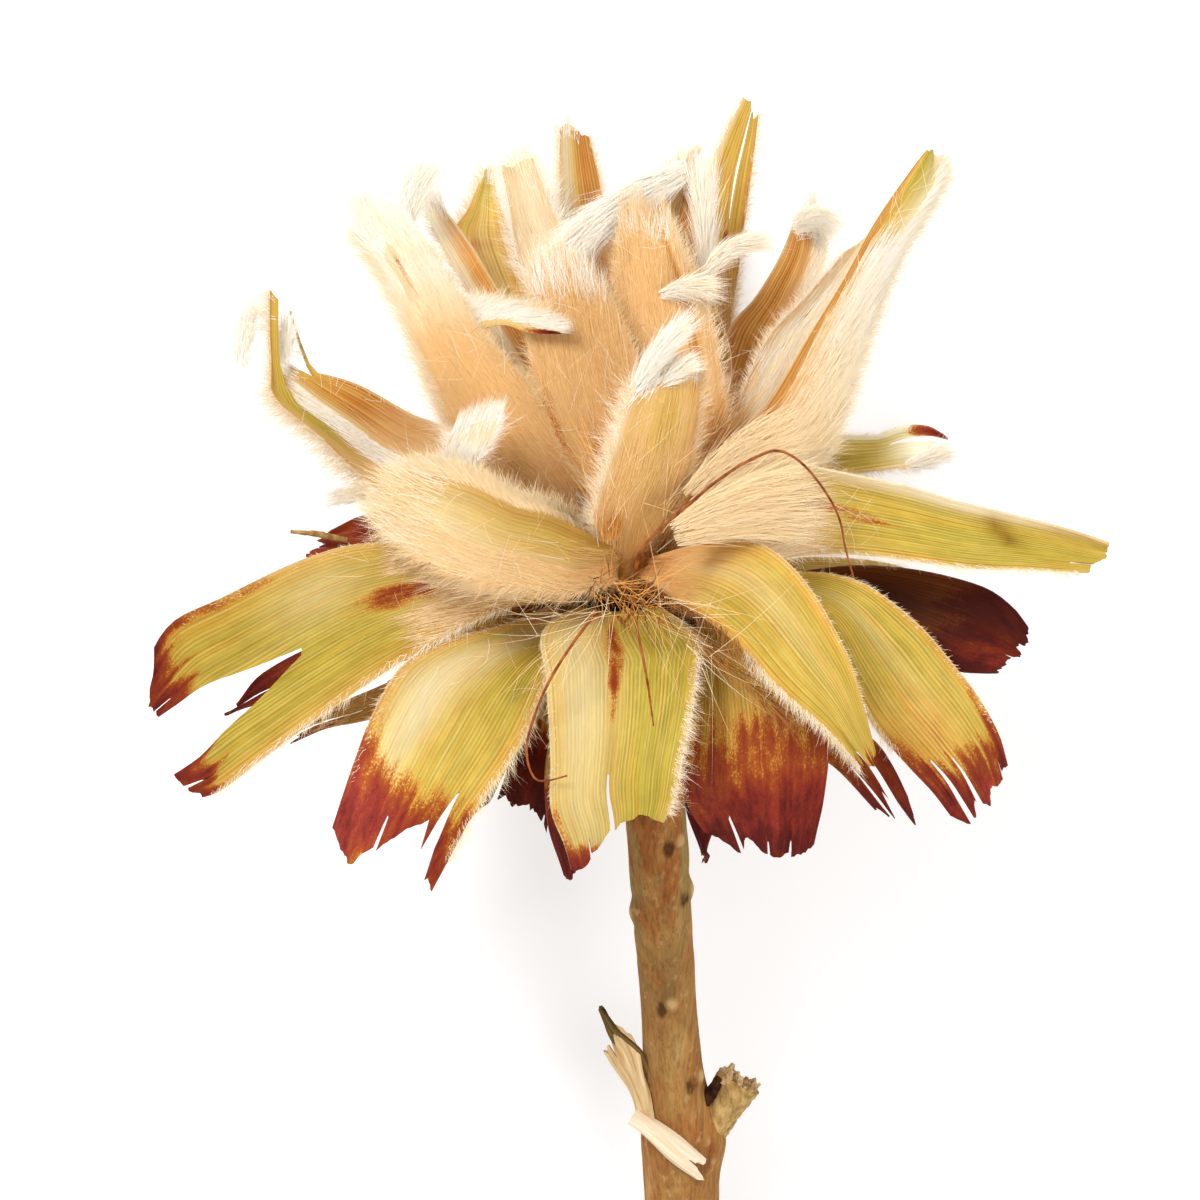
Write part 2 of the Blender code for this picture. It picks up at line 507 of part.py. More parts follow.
def main():
    clear_scene()
    home = bpy.data.collections.new("dried_protea_flower")
    cutters = bpy.data.collections.new("joined_shapes")
    cutters.hide_render = True
    bpy.context.scene.collection.children.link(home)
    bpy.context.scene.collection.children.link(cutters)
    materials = make_materials()
    build_receptacle(materials["receptacle_wood"], home)
    build_stem(materials["stem_bark"], home, cutters)
    for row in BRACTS:
        build_bract(row, materials[row["skin"]], home)
    for row in STYLES:
        build_style(row, materials["style_skin"], home)
    shift = stand_on_origin(list(home.objects))
    for item in list(home.objects) + list(cutters.objects):
        item.data.transform(Matrix.Translation(shift))
    print("shift in mm", [round(value * 1000, 2) for value in shift])


main()
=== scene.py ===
import math

import bmesh
import bpy
import numpy as np
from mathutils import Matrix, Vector


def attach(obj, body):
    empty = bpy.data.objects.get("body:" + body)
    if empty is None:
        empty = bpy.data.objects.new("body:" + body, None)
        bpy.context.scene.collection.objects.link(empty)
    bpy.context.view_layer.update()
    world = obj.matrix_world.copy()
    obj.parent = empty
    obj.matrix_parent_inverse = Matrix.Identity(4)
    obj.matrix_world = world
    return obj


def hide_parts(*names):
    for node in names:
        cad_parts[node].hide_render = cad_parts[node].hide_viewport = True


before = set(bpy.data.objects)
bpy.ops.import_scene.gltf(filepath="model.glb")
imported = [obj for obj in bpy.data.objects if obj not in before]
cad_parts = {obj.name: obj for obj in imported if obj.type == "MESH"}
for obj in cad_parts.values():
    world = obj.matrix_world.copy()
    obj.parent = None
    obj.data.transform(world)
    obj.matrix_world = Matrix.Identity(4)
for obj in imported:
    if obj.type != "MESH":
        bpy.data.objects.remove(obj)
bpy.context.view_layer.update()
mm = 0.001

# The flower is set out from the middle of its receptacle, in millimetres: x right,
# y towards the top of the head, z up from the table.
flower = {
    "middle": (-0.35, 20.59, 38.87),
    "stemRise": 19.5,       # degrees
    "stemLean": 4.0,        # degrees
    "receptacleRadius": 10.5,
    "receptacleHalf": 10.0,
    "rings": {"foot": -6.6, "low": -3.2, "middle": 0.2, "high": 3.6, "crown": 7.0, "heart": 9.2},
    "sheetThickness": 0.34,
    "tableGap": 0.05,
    "seed": 11,
}
middle = np.array(flower["middle"])
rise, lean = math.radians(flower["stemRise"]), math.radians(flower["stemLean"])
axis = np.array([-math.sin(lean) * math.cos(rise), math.cos(lean) * math.cos(rise), math.sin(rise)])
front = np.array([0, 0, 1.0]) - axis * axis[2]
front /= np.linalg.norm(front)
side = np.cross(axis, front)


def unit(v):
    return v / np.maximum(np.linalg.norm(v, axis=-1, keepdims=True), 1e-9)


def ease(x):
    x = np.clip(x, 0, 1)
    return x * x * (3 - 2 * x)


def linear(code):
    # sRGB hex to linear colour
    parts = [int(code[i:i + 2], 16) / 255 for i in (1, 3, 5)]
    return tuple(p / 12.92 if p < 0.04045 else ((p + 0.055) / 1.055) ** 2.4 for p in parts) + (1,)


def addNode(material, kind, inputs=None, stops=(), **settings):
    # inputs: for a socket, the output that feeds it, a number or tuple, or a hex colour
    tree = material.node_tree
    node = tree.nodes.new(kind)
    for key, value in settings.items():
        setattr(node, key, value)
    for number, (place, level) in enumerate(stops):
        ramp = node.color_ramp.elements
        element = ramp[number] if number < len(ramp) else ramp.new(place)
        element.position = place
        element.color = linear(level) if isinstance(level, str) else (level, level, level, 1)
    for socket, value in (inputs or {}).items():
        if isinstance(value, bpy.types.NodeSocket):
            tree.links.new(value, node.inputs[socket])
        else:
            node.inputs[socket].default_value = linear(value) if isinstance(value, str) else value
    return node


def newMaterial(name, roughness, specular=0.25):
    material = bpy.data.materials.new(name)
    material.use_nodes = True
    shader = material.node_tree.nodes["Principled BSDF"]
    shader.inputs["Roughness"].default_value = roughness
    shader.inputs["Specular IOR Level"].default_value = specular
    return material, shader


def finishMaterial(material, shader, colour, height, strength, distance):
    # colour and bump into the shader
    bump = addNode(material, "ShaderNodeBump", {"Height": height, "Strength": strength,
                                                "Distance": distance * mm})
    material.node_tree.links.new(colour, shader.inputs["Base Color"])
    material.node_tree.links.new(bump.outputs[0], shader.inputs["Normal"])
    return material


colourMix = dict(data_type="RGBA")
multiply = dict(data_type="RGBA", blend_type="MULTIPLY")


def driedBract(name, dull):
    # dry leathery bract: fine uneven ribs, straw to olive, rust and maroon at the torn ends,
    # and a smooth peach inner face where the wool lies
    material, shader = newMaterial(name, 0.6, 0.13)
    ribMap = addNode(material, "ShaderNodeUVMap", uv_map="ribs").outputs["UV"]
    skin = addNode(material, "ShaderNodeAttribute", attribute_name="skin")
    # the tone attribute holds painted shade and painted highlights laid on each bract
    tone = addNode(material, "ShaderNodeAttribute", attribute_name="tone").outputs["Color"]
    red, peach, cream = addNode(material, "ShaderNodeSeparateColor", {"Color": skin.outputs["Color"]}).outputs

    # ribs about 0.5 mm apart, unevenly spaced, and streaks a few millimetres long
    combed = addNode(material, "ShaderNodeMapping", {"Vector": ribMap, "Scale": (1, 0.05, 1)}).outputs[0]
    wave = addNode(material, "ShaderNodeTexWave", {
        "Vector": combed, "Scale": 0.66, "Distortion": 3.2, "Detail": 3, "Detail Scale": 0.45},
        bands_direction="X").outputs["Fac"]
    grain = {}
    for key, scale, detail in (("lines", (3.2, 0.035, 1), 3), ("streak", (1.1, 0.06, 1), 5),
                               ("threads", (8, 0.4, 1), 2), ("blotch", (0.45, 0.22, 1), 4),
                               ("speckle", (5, 3, 1), 3)):
        place = addNode(material, "ShaderNodeMapping", {"Vector": ribMap, "Scale": scale}).outputs[0]
        grain[key] = addNode(material, "ShaderNodeTexNoise", {
            "Vector": place, "Scale": 1.0, "Detail": detail, "Roughness": 0.62}).outputs[0]
    ribs = addNode(material, "ShaderNodeMath", {0: wave, 1: 0.26}, operation="MULTIPLY").outputs[0]
    ribs = addNode(material, "ShaderNodeMath", {0: grain["lines"], 1: 1.05, 2: ribs},
                   operation="MULTIPLY_ADD").outputs[0]

    # long streaks vary the green and move the borders between skin, wool and stain
    shift = addNode(material, "ShaderNodeMath", {0: grain["streak"], 1: 0.5},
                    operation="SUBTRACT").outputs[0]
    green = addNode(material, "ShaderNodeMath", {0: shift, 1: 1.2, 2: skin.outputs["Alpha"]},
                    operation="MULTIPLY_ADD", use_clamp=True).outputs[0]

    # orange brown, golden and olive skin, from the fourth mask
    tans = addNode(material, "ShaderNodeMix", {0: grain["blotch"], 6: "#ae5f1a", 7: "#dd9a48"},
                   **colourMix).outputs[2]
    golden = addNode(material, "ShaderNodeMix", {0: grain["blotch"], 6: "#c58b26", 7: "#f0c860"},
                     **colourMix).outputs[2]
    olive = addNode(material, "ShaderNodeMix", {0: grain["blotch"], 6: "#8f7f1c", 7: "#d5c148"},
                    **colourMix).outputs[2]
    half = addNode(material, "ShaderNodeMath", {0: green, 1: 2.0}, operation="MULTIPLY",
                   use_clamp=True).outputs[0]
    body = addNode(material, "ShaderNodeMix", {0: half, 6: tans, 7: golden}, **colourMix).outputs[2]
    half = addNode(material, "ShaderNodeMath", {0: green, 1: 2.0, 2: -1.0}, operation="MULTIPLY_ADD",
                   use_clamp=True).outputs[0]
    body = addNode(material, "ShaderNodeMix", {0: half, 6: body, 7: olive}, **colourMix).outputs[2]
    valleys = addNode(material, "ShaderNodeValToRGB", {"Fac": ribs},
                      stops=[(0.42, 0.4), (0.62, 0.0)]).outputs[0]
    body = addNode(material, "ShaderNodeMix", {0: valleys, 6: body, 7: "#755a10"}, **colourMix).outputs[2]
    crests = addNode(material, "ShaderNodeValToRGB", {"Fac": ribs},
                     stops=[(0.68, 0.0), (0.9, 0.4)]).outputs[0]
    body = addNode(material, "ShaderNodeMix", {0: crests, 6: body, 7: "#f3dd8c"}, **colourMix).outputs[2]

    woolly = addNode(material, "ShaderNodeMath", {0: shift, 1: 0.9, 2: peach}, operation="MULTIPLY_ADD",
                     use_clamp=True).outputs[0]
    peachTone = addNode(material, "ShaderNodeMix", {0: grain["streak"], 6: "#dda35c", 7: "#f0ca96"},
                        **colourMix).outputs[2]
    body = addNode(material, "ShaderNodeMix", {0: woolly, 6: body, 7: peachTone}, **colourMix).outputs[2]
    paler = addNode(material, "ShaderNodeMath", {0: shift, 1: cream, 2: cream}, operation="MULTIPLY_ADD",
                    use_clamp=True).outputs[0]
    body = addNode(material, "ShaderNodeMix", {0: paler, 6: body, 7: "#f5e6bf"}, **colourMix).outputs[2]
    patch = addNode(material, "ShaderNodeMath", {0: grain["blotch"], 1: grain["speckle"]},
                    operation="SUBTRACT").outputs[0]
    ragged = addNode(material, "ShaderNodeMath", {0: shift, 1: 0.5}, operation="MULTIPLY").outputs[0]
    ragged = addNode(material, "ShaderNodeMath", {0: patch, 1: 1.1, 2: ragged},
                     operation="MULTIPLY_ADD").outputs[0]
    stained = addNode(material, "ShaderNodeMath", {0: red, 1: 2.2}, operation="MULTIPLY",
                      use_clamp=True).outputs[0]
    burnt = addNode(material, "ShaderNodeMath", {0: ragged, 1: stained, 2: red},
                    operation="MULTIPLY_ADD", use_clamp=True).outputs[0]
    amount = addNode(material, "ShaderNodeValToRGB", {"Fac": burnt},
                     stops=[(0.2, 0.0), (0.3, 0.6), (0.4, 1.0)]).outputs[0]
    spotted = addNode(material, "ShaderNodeMath", {0: grain["speckle"], 1: 0.75, 2: burnt},
                      operation="MULTIPLY_ADD").outputs[0]
    spotted = addNode(material, "ShaderNodeMath", {0: spotted, 1: 0.66}, operation="MULTIPLY").outputs[0]
    stain = addNode(material, "ShaderNodeValToRGB", {"Fac": spotted}, stops=[
        (0.36, "#cf8c30"), (0.47, "#b4651e"), (0.58, "#964216"), (0.72, "#83291a"),
        (0.9, "#50130c")]).outputs[0]
    body = addNode(material, "ShaderNodeMix", {0: amount, 6: body, 7: stain}, **colourMix).outputs[2]
    fine = addNode(material, "ShaderNodeMix", {0: grain["threads"], 6: "#d2c9bc", 7: "#ffffff"},
                   **colourMix).outputs[2]
    body = addNode(material, "ShaderNodeMix", {0: 0.8, 6: body, 7: fine}, **multiply).outputs[2]
    # painted light and shade: the colour is multiplied by the tone attribute
    body = addNode(material, "ShaderNodeMix", {0: 1.0, 6: body, 7: tone}, **multiply).outputs[2]
    if dull:
        # the outer side is browner and duller
        body = addNode(material, "ShaderNodeMix", {0: 0.4, 6: body, 7: "#9c7040"}, **colourMix).outputs[2]
    bare = addNode(material, "ShaderNodeMath", {0: 1.0, 1: woolly}, operation="SUBTRACT").outputs[0]
    height = addNode(material, "ShaderNodeMath", {0: ribs, 1: bare}, operation="MULTIPLY").outputs[0]
    height = addNode(material, "ShaderNodeMath", {0: grain["threads"], 1: 0.4, 2: height},
                     operation="MULTIPLY_ADD").outputs[0]
    return finishMaterial(material, shader, body, height, 0.5, 0.06)


def silkyWool():
    # silky bract wool: fine soft fibres, brown and peach at the root, nearly white at the end
    material, shader = newMaterial("silky bract wool", 0.75, 0.05)
    along = addNode(material, "ShaderNodeSeparateXYZ", {
        "Vector": addNode(material, "ShaderNodeUVMap", uv_map="OFBake").outputs[0]}).outputs
    tone = addNode(material, "ShaderNodeValToRGB", {"Fac": along[1]}, stops=[
        (0.02, "#20100a"), (0.15, "#6a3812"), (0.3, "#c0782a"), (0.45, "#e6a552"),
        (0.6, "#f0c27c"), (0.8, "#f8e2b6"), (0.97, "#fffaf0")]).outputs[0]
    tip = addNode(material, "ShaderNodeMath", {0: along[0], 1: 0.12}, operation="MULTIPLY").outputs[0]
    colour = addNode(material, "ShaderNodeMix", {0: tip, 6: tone, 7: "#f8ead0"}, **colourMix).outputs[2]
    material.node_tree.links.new(colour, shader.inputs["Base Color"])
    return material


def barkMaterial():
    # thin dry bark: matt, rust brown with grey-green streaks, fine cracks along the stem,
    # dark scars and pale worn knobs
    material, shader = newMaterial("dry stem bark", 0.85, 0.1)
    place = addNode(material, "ShaderNodeTexCoord").outputs["Object"]
    marks = addNode(material, "ShaderNodeAttribute", attribute_name="marks").outputs["Color"]
    worn, scar, olive = addNode(material, "ShaderNodeSeparateColor", {"Color": marks}).outputs
    grain = {}
    for key, scale, detail in (("patches", (300, 75, 300), 6), ("fibres", (2600, 70, 2600), 6),
                               ("mottle", (900, 500, 900), 4), ("green", (230, 40, 230), 4)):
        stretched = addNode(material, "ShaderNodeMapping", {"Vector": place, "Scale": scale}).outputs[0]
        grain[key] = addNode(material, "ShaderNodeTexNoise", {
            "Vector": stretched, "Scale": 1.0, "Detail": detail, "Roughness": 0.62}).outputs[0]
    colour = addNode(material, "ShaderNodeValToRGB", {"Fac": grain["patches"]}, stops=[
        (0.3, "#784a28"), (0.43, "#a06233"), (0.56, "#ae7840"), (0.72, "#c49c60")]).outputs[0]
    amount = addNode(material, "ShaderNodeValToRGB", {"Fac": grain["green"]},
                     stops=[(0.42, 0.0), (0.54, 0.95)]).outputs[0]
    amount = addNode(material, "ShaderNodeMath", {0: amount, 1: olive}, operation="MULTIPLY").outputs[0]
    colour = addNode(material, "ShaderNodeMix", {0: amount, 6: colour, 7: "#9c8650"}, **colourMix).outputs[2]
    amount = addNode(material, "ShaderNodeValToRGB", {"Fac": grain["fibres"]},
                     stops=[(0.36, 0.42), (0.54, 0.0)]).outputs[0]
    colour = addNode(material, "ShaderNodeMix", {0: amount, 6: colour, 7: "#5f3d20"}, **colourMix).outputs[2]
    amount = addNode(material, "ShaderNodeValToRGB", {"Fac": grain["mottle"]},
                     stops=[(0.58, 0.0), (0.7, 0.45)]).outputs[0]
    colour = addNode(material, "ShaderNodeMix", {0: amount, 6: colour, 7: "#d2ad74"}, **colourMix).outputs[2]
    scar = addNode(material, "ShaderNodeMath", {0: grain["mottle"], 1: scar}, operation="MULTIPLY").outputs[0]
    scar = addNode(material, "ShaderNodeValToRGB", {"Fac": scar}, stops=[(0.2, 0.0), (0.4, 0.8)]).outputs[0]
    colour = addNode(material, "ShaderNodeMix", {0: scar, 6: colour, 7: "#3b200f"}, **colourMix).outputs[2]
    colour = addNode(material, "ShaderNodeMix", {0: worn, 6: colour, 7: "#d2b077"}, **colourMix).outputs[2]
    height = addNode(material, "ShaderNodeMath", {0: grain["fibres"], 1: grain["patches"]},
                     operation="ADD").outputs[0]
    return finishMaterial(material, shader, colour, height, 0.85, 0.3)


def grainMaterial(name, dark, pale, rough, scale, alongStrip=False):
    # torn dry wood or fibre: long grain between two tones
    material, shader = newMaterial(name, rough, 0.12)
    place = addNode(material, "ShaderNodeTexCoord").outputs["Object"]
    if alongStrip:
        place = addNode(material, "ShaderNodeUVMap", uv_map="ribs").outputs[0]
    stretched = addNode(material, "ShaderNodeMapping", {"Vector": place, "Scale": scale}).outputs[0]
    fibres = addNode(material, "ShaderNodeTexNoise", {
        "Vector": stretched, "Scale": 1.0, "Detail": 4, "Roughness": 0.6}).outputs[0]
    colour = addNode(material, "ShaderNodeValToRGB", {"Fac": fibres},
                     stops=[(0.34, dark), (0.62, pale)]).outputs[0]
    return finishMaterial(material, shader, colour, fibres, 0.6, 0.15)


sheetFront = driedBract("dried ribbed bract", False)
sheetBack = driedBract("dried bract outer side", True)
wool = silkyWool()
bark = barkMaterial()
paleWood = grainMaterial("torn pale wood", "#94693c", "#dcc294", 0.8, (1800, 500, 1800))
chipWood = grainMaterial("peeled pale chip", "#dcc09a", "#efe0c4", 0.8, (1.6, 0.1, 1), True)
tornBark = grainMaterial("torn tan bark", "#b98d56", "#e6cb9c", 0.82, (1.8, 0.12, 1), True)
innerBark = grainMaterial("dark inner edge of bark", "#3a2a16", "#7c6236", 0.85, (1.8, 0.12, 1), True)
stubBark = grainMaterial("weathered stub bark", "#8f6c3a", "#c8a468", 0.85, (1500, 500, 1500))
darkWood = grainMaterial("dark receptacle wood", "#150a06", "#4a2a14", 0.9, (900, 900, 900))
styleSkin = grainMaterial("dry reddish style", "#6b2c12", "#a8602c", 0.45, (600, 600, 600))
print("materials made")


def outward(clock):
    turn = math.radians(clock)
    return side * math.cos(turn) + front * math.sin(turn)


def footPoint(row):
    height = flower["rings"][row["ring"]]
    radius = flower["receptacleRadius"] * (1 - abs(height / flower["receptacleHalf"]) ** 3) ** (1 / 3)
    return axis * height + outward(row["clock"]) * (radius + 0.7)


def smoothLine(points, count, over=1.25):
    # rounded line through the points, evenly stepped, running on straight past its end
    p = np.array(points, float)
    p = np.vstack([p[0] * 2 - p[1], p, p[-1] * 2 - p[-2]])
    t = np.linspace(0, 1, 16, endpoint=False)[:, None]
    line = []
    for a, b, c, d in zip(p, p[1:], p[2:], p[3:]):
        line.append(0.5 * (2 * b + (c - a) * t + (2 * a - 5 * b + 4 * c - d) * t ** 2
                           + (3 * b - a - 3 * c + d) * t ** 3))
    line = np.vstack(line + [p[-2:-1]])
    run = np.concatenate([[0], np.cumsum(np.linalg.norm(np.diff(line, axis=0), axis=1))])
    even = np.linspace(0, run[-1], count)
    line = np.stack([np.interp(even, run, line[:, i]) for i in range(3)], 1)
    more = np.arange(1, int(count * (over - 1)) + 1)[:, None]
    return np.vstack([line, line[-1] + (line[-1] - line[-3]) * 0.5 * more])


def depthAt(row, t):
    # height above the receptacle's middle, read along the bract
    foot = footPoint(row)[2]
    mid, tip = row["high"]
    control = mid * 2 - (foot + tip) * 0.5
    return foot * (1 - t) ** 2 + control * 2 * t * (1 - t) + tip * t ** 2


def railsFromEdges(row):
    # edges as seen from above, with an optional third number that lifts a point
    if "ring" not in row:
        return [smoothLine(row["a"], 60), smoothLine(row["b"], 60)]
    foot = footPoint(row)
    first, second = np.array(row["a"][0][:2]), np.array(row["b"][0][:2])
    across = unit(np.append(second - first, 0))
    rails = []
    for points, sign in ((row["a"], -1), (row["b"], 1)):
        flat = [foot[:2] + across[:2] * sign * row.get("footWide", 4.5) * 0.5]
        flat += [np.array(p[:2], float) for p in points]
        lifts = [0] + [p[2] if len(p) > 2 else 0 for p in points]
        run = np.concatenate([[0], np.cumsum(np.linalg.norm(np.diff(flat, axis=0), axis=1))])
        run /= run[-1]
        full = [(*p, depthAt(row, t) + lift) for p, t, lift in zip(flat, run, lifts)]
        rails.append(smoothLine(full, 60))
    return rails


def railsFromMiddle(row):
    # a hidden bract: a bent centre line with a width, facing up the flower's axis
    foot, mid, tip = footPoint(row), np.array(row["mid"], float), np.array(row["tip"], float)
    control = mid * 2 - (foot + tip) * 0.5
    t = np.linspace(0, 1.25, 75)[:, None]
    line = foot * (1 - t) ** 2 + control * 2 * t * (1 - t) + tip * t ** 2
    way = unit((control - foot) * (1 - t) + (tip - control) * t)
    face = axis - outward(row["clock"]) * 0.5
    face = unit(face - way * (way @ face)[:, None])
    beside = np.cross(way, face)
    half = np.interp(t[:, 0], np.linspace(0, 1, 4), row["wide"])[:, None] * 0.5
    return [line - beside * half, line + beside * half]


def bractGrid(row, rng):
    nAcross, nAlong = row.get("cells", (28, 38))
    railA, railB = railsFromEdges(row) if "a" in row else railsFromMiddle(row)
    centre = (railA + railB) * 0.5
    length = np.linalg.norm(np.diff(centre[:60], axis=0), axis=1).sum()
    wide = np.linalg.norm(railB - railA, axis=1)[:60].max()

    # columns, with a narrow one at each split
    columns = np.linspace(-1, 1, nAcross + 1)
    splits = {}
    wanted = [tuple(s) for s in row.get("splits", ())]
    for _ in range(row.get("fray", 3) // 2):
        wanted.append((rng.uniform(-0.9, 0.9), rng.uniform(0.94, 0.985), rng.uniform(0.08, 0.3)))
    for place, start, opening in wanted:
        k = int(np.clip(np.searchsorted(columns, place) - 1, 1, nAcross - 2))
        if k in splits or k - 1 in splits or k + 1 in splits:
            continue
        splits[k] = (start, opening)
        columns[k], columns[k + 1] = place - 0.012, place + 0.012

    ends = np.interp(columns, np.linspace(-1, 1, len(row.get("end", (0, 0)))),
                     row.get("end", (0, 0)))
    strip = np.zeros(nAcross + 1, int)
    for k in splits:
        strip[k + 1:] += 1
    jag = row.get("jag", 0.5)
    lobe = np.searchsorted(np.cumsum(rng.uniform(3, 9, nAcross)), np.arange(nAcross + 1))
    ends = ends + rng.normal(0, jag * 0.35, strip.max() + 1)[strip]
    ends = ends + rng.normal(0, jag * 0.45, lobe.max() + 1)[lobe]
    for size, amount in ((7, 0.5), (3, 0.25), (1, 0.16)):
        knots = rng.normal(0, jag * amount, int(nAcross / size) + 2)
        ends = ends + np.interp(np.arange(nAcross + 1) / size, np.arange(len(knots)), knots)
    v = np.linspace(0, 1, nAlong + 1) ** 0.92
    t = v[:, None] * (1 + ends[None] / length)
    s = np.repeat(columns[None], nAlong + 1, 0)
    gaps = np.zeros((nAlong, nAcross), bool)
    for k, (start, opening) in splits.items():
        apart = opening / wide * np.clip((v - start) / max(1 - start, 0.02), 0, 1)
        lowSide, highSide = columns <= columns[k], columns >= columns[k + 1]
        reach = np.clip(1 - np.abs(columns - columns[k]) / 0.9, 0, 1)
        s[:, lowSide] -= apart[:, None] * reach[None, lowSide]
        s[:, highSide] += apart[:, None] * reach[None, highSide]
        gaps[v[:-1] > start, k] = True

    for low, high, keep, start in row.get("slim", ()):      # a strip narrowed towards its outer edge
        part = (columns >= low) & (columns <= high)
        rim = (s[:, part].max(1) if high >= 1 else s[:, part].min(1))[:, None]
        s[:, part] = rim + (s[:, part] - rim) * (1 - (1 - keep) * ease((v - start) / 0.2))[:, None]

    steps = np.linspace(0, 1.25, len(railA))
    a = np.stack([np.interp(t, steps, railA[:, i]) for i in range(3)], -1)
    b = np.stack([np.interp(t, steps, railB[:, i]) for i in range(3)], -1)
    c = (a + b) * 0.5
    along = unit(np.gradient(c, axis=0))
    across = unit(b - a)
    normal = unit(np.cross(across, along))
    look = np.array(row.get("face", axis if "mid" in row else (0, 0, 1)), float)
    middleRow = normal[int(nAlong * 0.6), nAcross // 2]
    if middleRow @ look < 0:
        normal = -normal
    half = np.linalg.norm(b - a, axis=-1) * 0.5
    base = ease(v / 0.3)[:, None]
    lift = row.get("cup", 0.08) * half * (s * s - 0.4) * base
    for key, edge in (("curlA", -1), ("curlB", 1)):
        if key in row:
            lift = lift + row[key] * np.clip((s * edge - 0.45) / 0.55, 0, 1) ** 2 * base
    waves = rng.uniform(0, 6.28, 4)
    lift = lift + row.get("wave", 0.35) * base * (
        np.sin(v[:, None] * 5 + s * 1.5 + waves[0]) * 0.6
        + np.sin(v[:, None] * 11 - s * 3 + waves[1]) * 0.25
        + np.sin(s * 9 + waves[2]) * 0.12)
    # torn strips part a little in height as well
    rise = rng.normal(0, 0.35, strip.max() + 1)[strip]
    lift = lift + rise[None] * np.clip((v - 0.8) / 0.2, 0, 1)[:, None] ** 2
    p = c + across * (half * s)[..., None] + normal * lift[..., None]
    if "hooks" in row:      # strips bent aside near the end: from, to, shift, start
        for low, high, shift, start in row["hooks"]:
            part = ((columns >= low) & (columns <= high)).astype(float)
            push = np.clip((v - start) / (1 - start), 0, 1) ** 1.6
            spine = p[:, part > 0].mean(1)
            p = p + (spine[:, None] - p) * (0.6 * ease(push * 4))[:, None, None] * part[None, :, None]
            p = p + push[:, None, None] * part[None, :, None] * np.array(shift, float)
    if row.get("rest"):
        need = -middle[2] + 0.3 - p[..., 2].min()
        if need < 3:
            p[..., 2] += need * v[:, None] ** 2
    normal = unit(np.cross(np.gradient(p, axis=1), np.gradient(p, axis=0)))
    if normal[int(nAlong * 0.6), nAcross // 2] @ look < 0:
        normal = -normal
    return {"p": p, "n": normal, "t": np.clip(t, 0, 1.2), "s": s, "v": v, "gaps": gaps,
            "along": along, "across": across, "wide": wide, "length": length}


def paintSkin(row, grid, rng):
    # red, peach, cream and green amounts at each point, and a brightness over them that is mostly painted
    # shade and painted highlights
    s, t = grid["s"], grid["t"]
    skin = np.zeros(s.shape + (4,))
    start, soft = row.get("tipRed", (1.3, 0.1))
    skin[..., 0] = ease((t - start + rng.normal(0, 0.02, s.shape[1])[None]) / soft) * row.get(
        "redness", 0.8)
    low, high = row.get("peach", (0.25, 0.45))
    skin[..., 1] = (1 - ease((t - low) / max(high - low, 0.01))) * row.get("woolly", 1.0)
    skin[..., 3] = 0.5 + 0.5 * row.get("green", 0.4)
    for mask, sAt, tAt, sWide, tWide, amount in row.get("paint", ()):
        spot = np.exp(-((s - sAt) / sWide) ** 2 - ((t - tAt) / tWide) ** 2) * amount
        if mask == "t":     # tan: away from green
            mask, spot = "g", -spot
        channel = "rpcg".index(mask)
        skin[..., channel] = np.clip(skin[..., channel] + spot, 0, 1)
    skin[..., 3] = np.clip(skin[..., 3] - ease((np.abs(s) - 0.7) / 0.3) * row.get("tanEdge", 0.35), 0, 1)
    edge = ease((np.abs(s) - 0.93) / 0.07) * row.get("paleEdge", 0.3)
    skin[..., 2] = np.clip(skin[..., 2] + edge * (1 - skin[..., 0]), 0, 1)
    # painted shade: the row's overall factor darkens or lightens the whole bract, partly its own colour and
    # partly painted light and shade; each bract is also painted darker towards its base, where the bracts
    # crowd together, and darkest at its foot in the dark middle of the head
    shadeAndTone = row.get("shadeAndTone", 1.0) * (1 - row.get("deep", 0.25) * (1 - ease(t / 0.45)))
    shadeAndTone = shadeAndTone * (1 - row.get("dark", 0.8) * (1 - ease((t - 0.03) / 0.13)))
    # painted shadows under curls and folds and between bracts; a negative amount paints a highlight instead,
    # as on stained tips; a few entries darken or brighten the bract's own marks and colours
    for sAt, tAt, sWide, tWide, amount in row.get("shadeLightAndMarks", ()):
        shadeAndTone = shadeAndTone * (1 - amount * np.exp(-((s - sAt) / sWide) ** 2 - ((t - tAt) / tWide) ** 2))
    shadeAndTone = np.broadcast_to(np.broadcast_to(shadeAndTone, s.shape)[..., None], s.shape + (4,))
    return skin, shadeAndTone ** np.array([0.7, 1.0, 1.5, 0])      # painted shade is made warmer as it darkens, like light bounced between the bracts


def freshStart():
    if bpy.context.object and bpy.context.object.mode != "OBJECT":
        bpy.ops.object.mode_set(mode="OBJECT")
    bpy.ops.object.select_all(action="DESELECT")


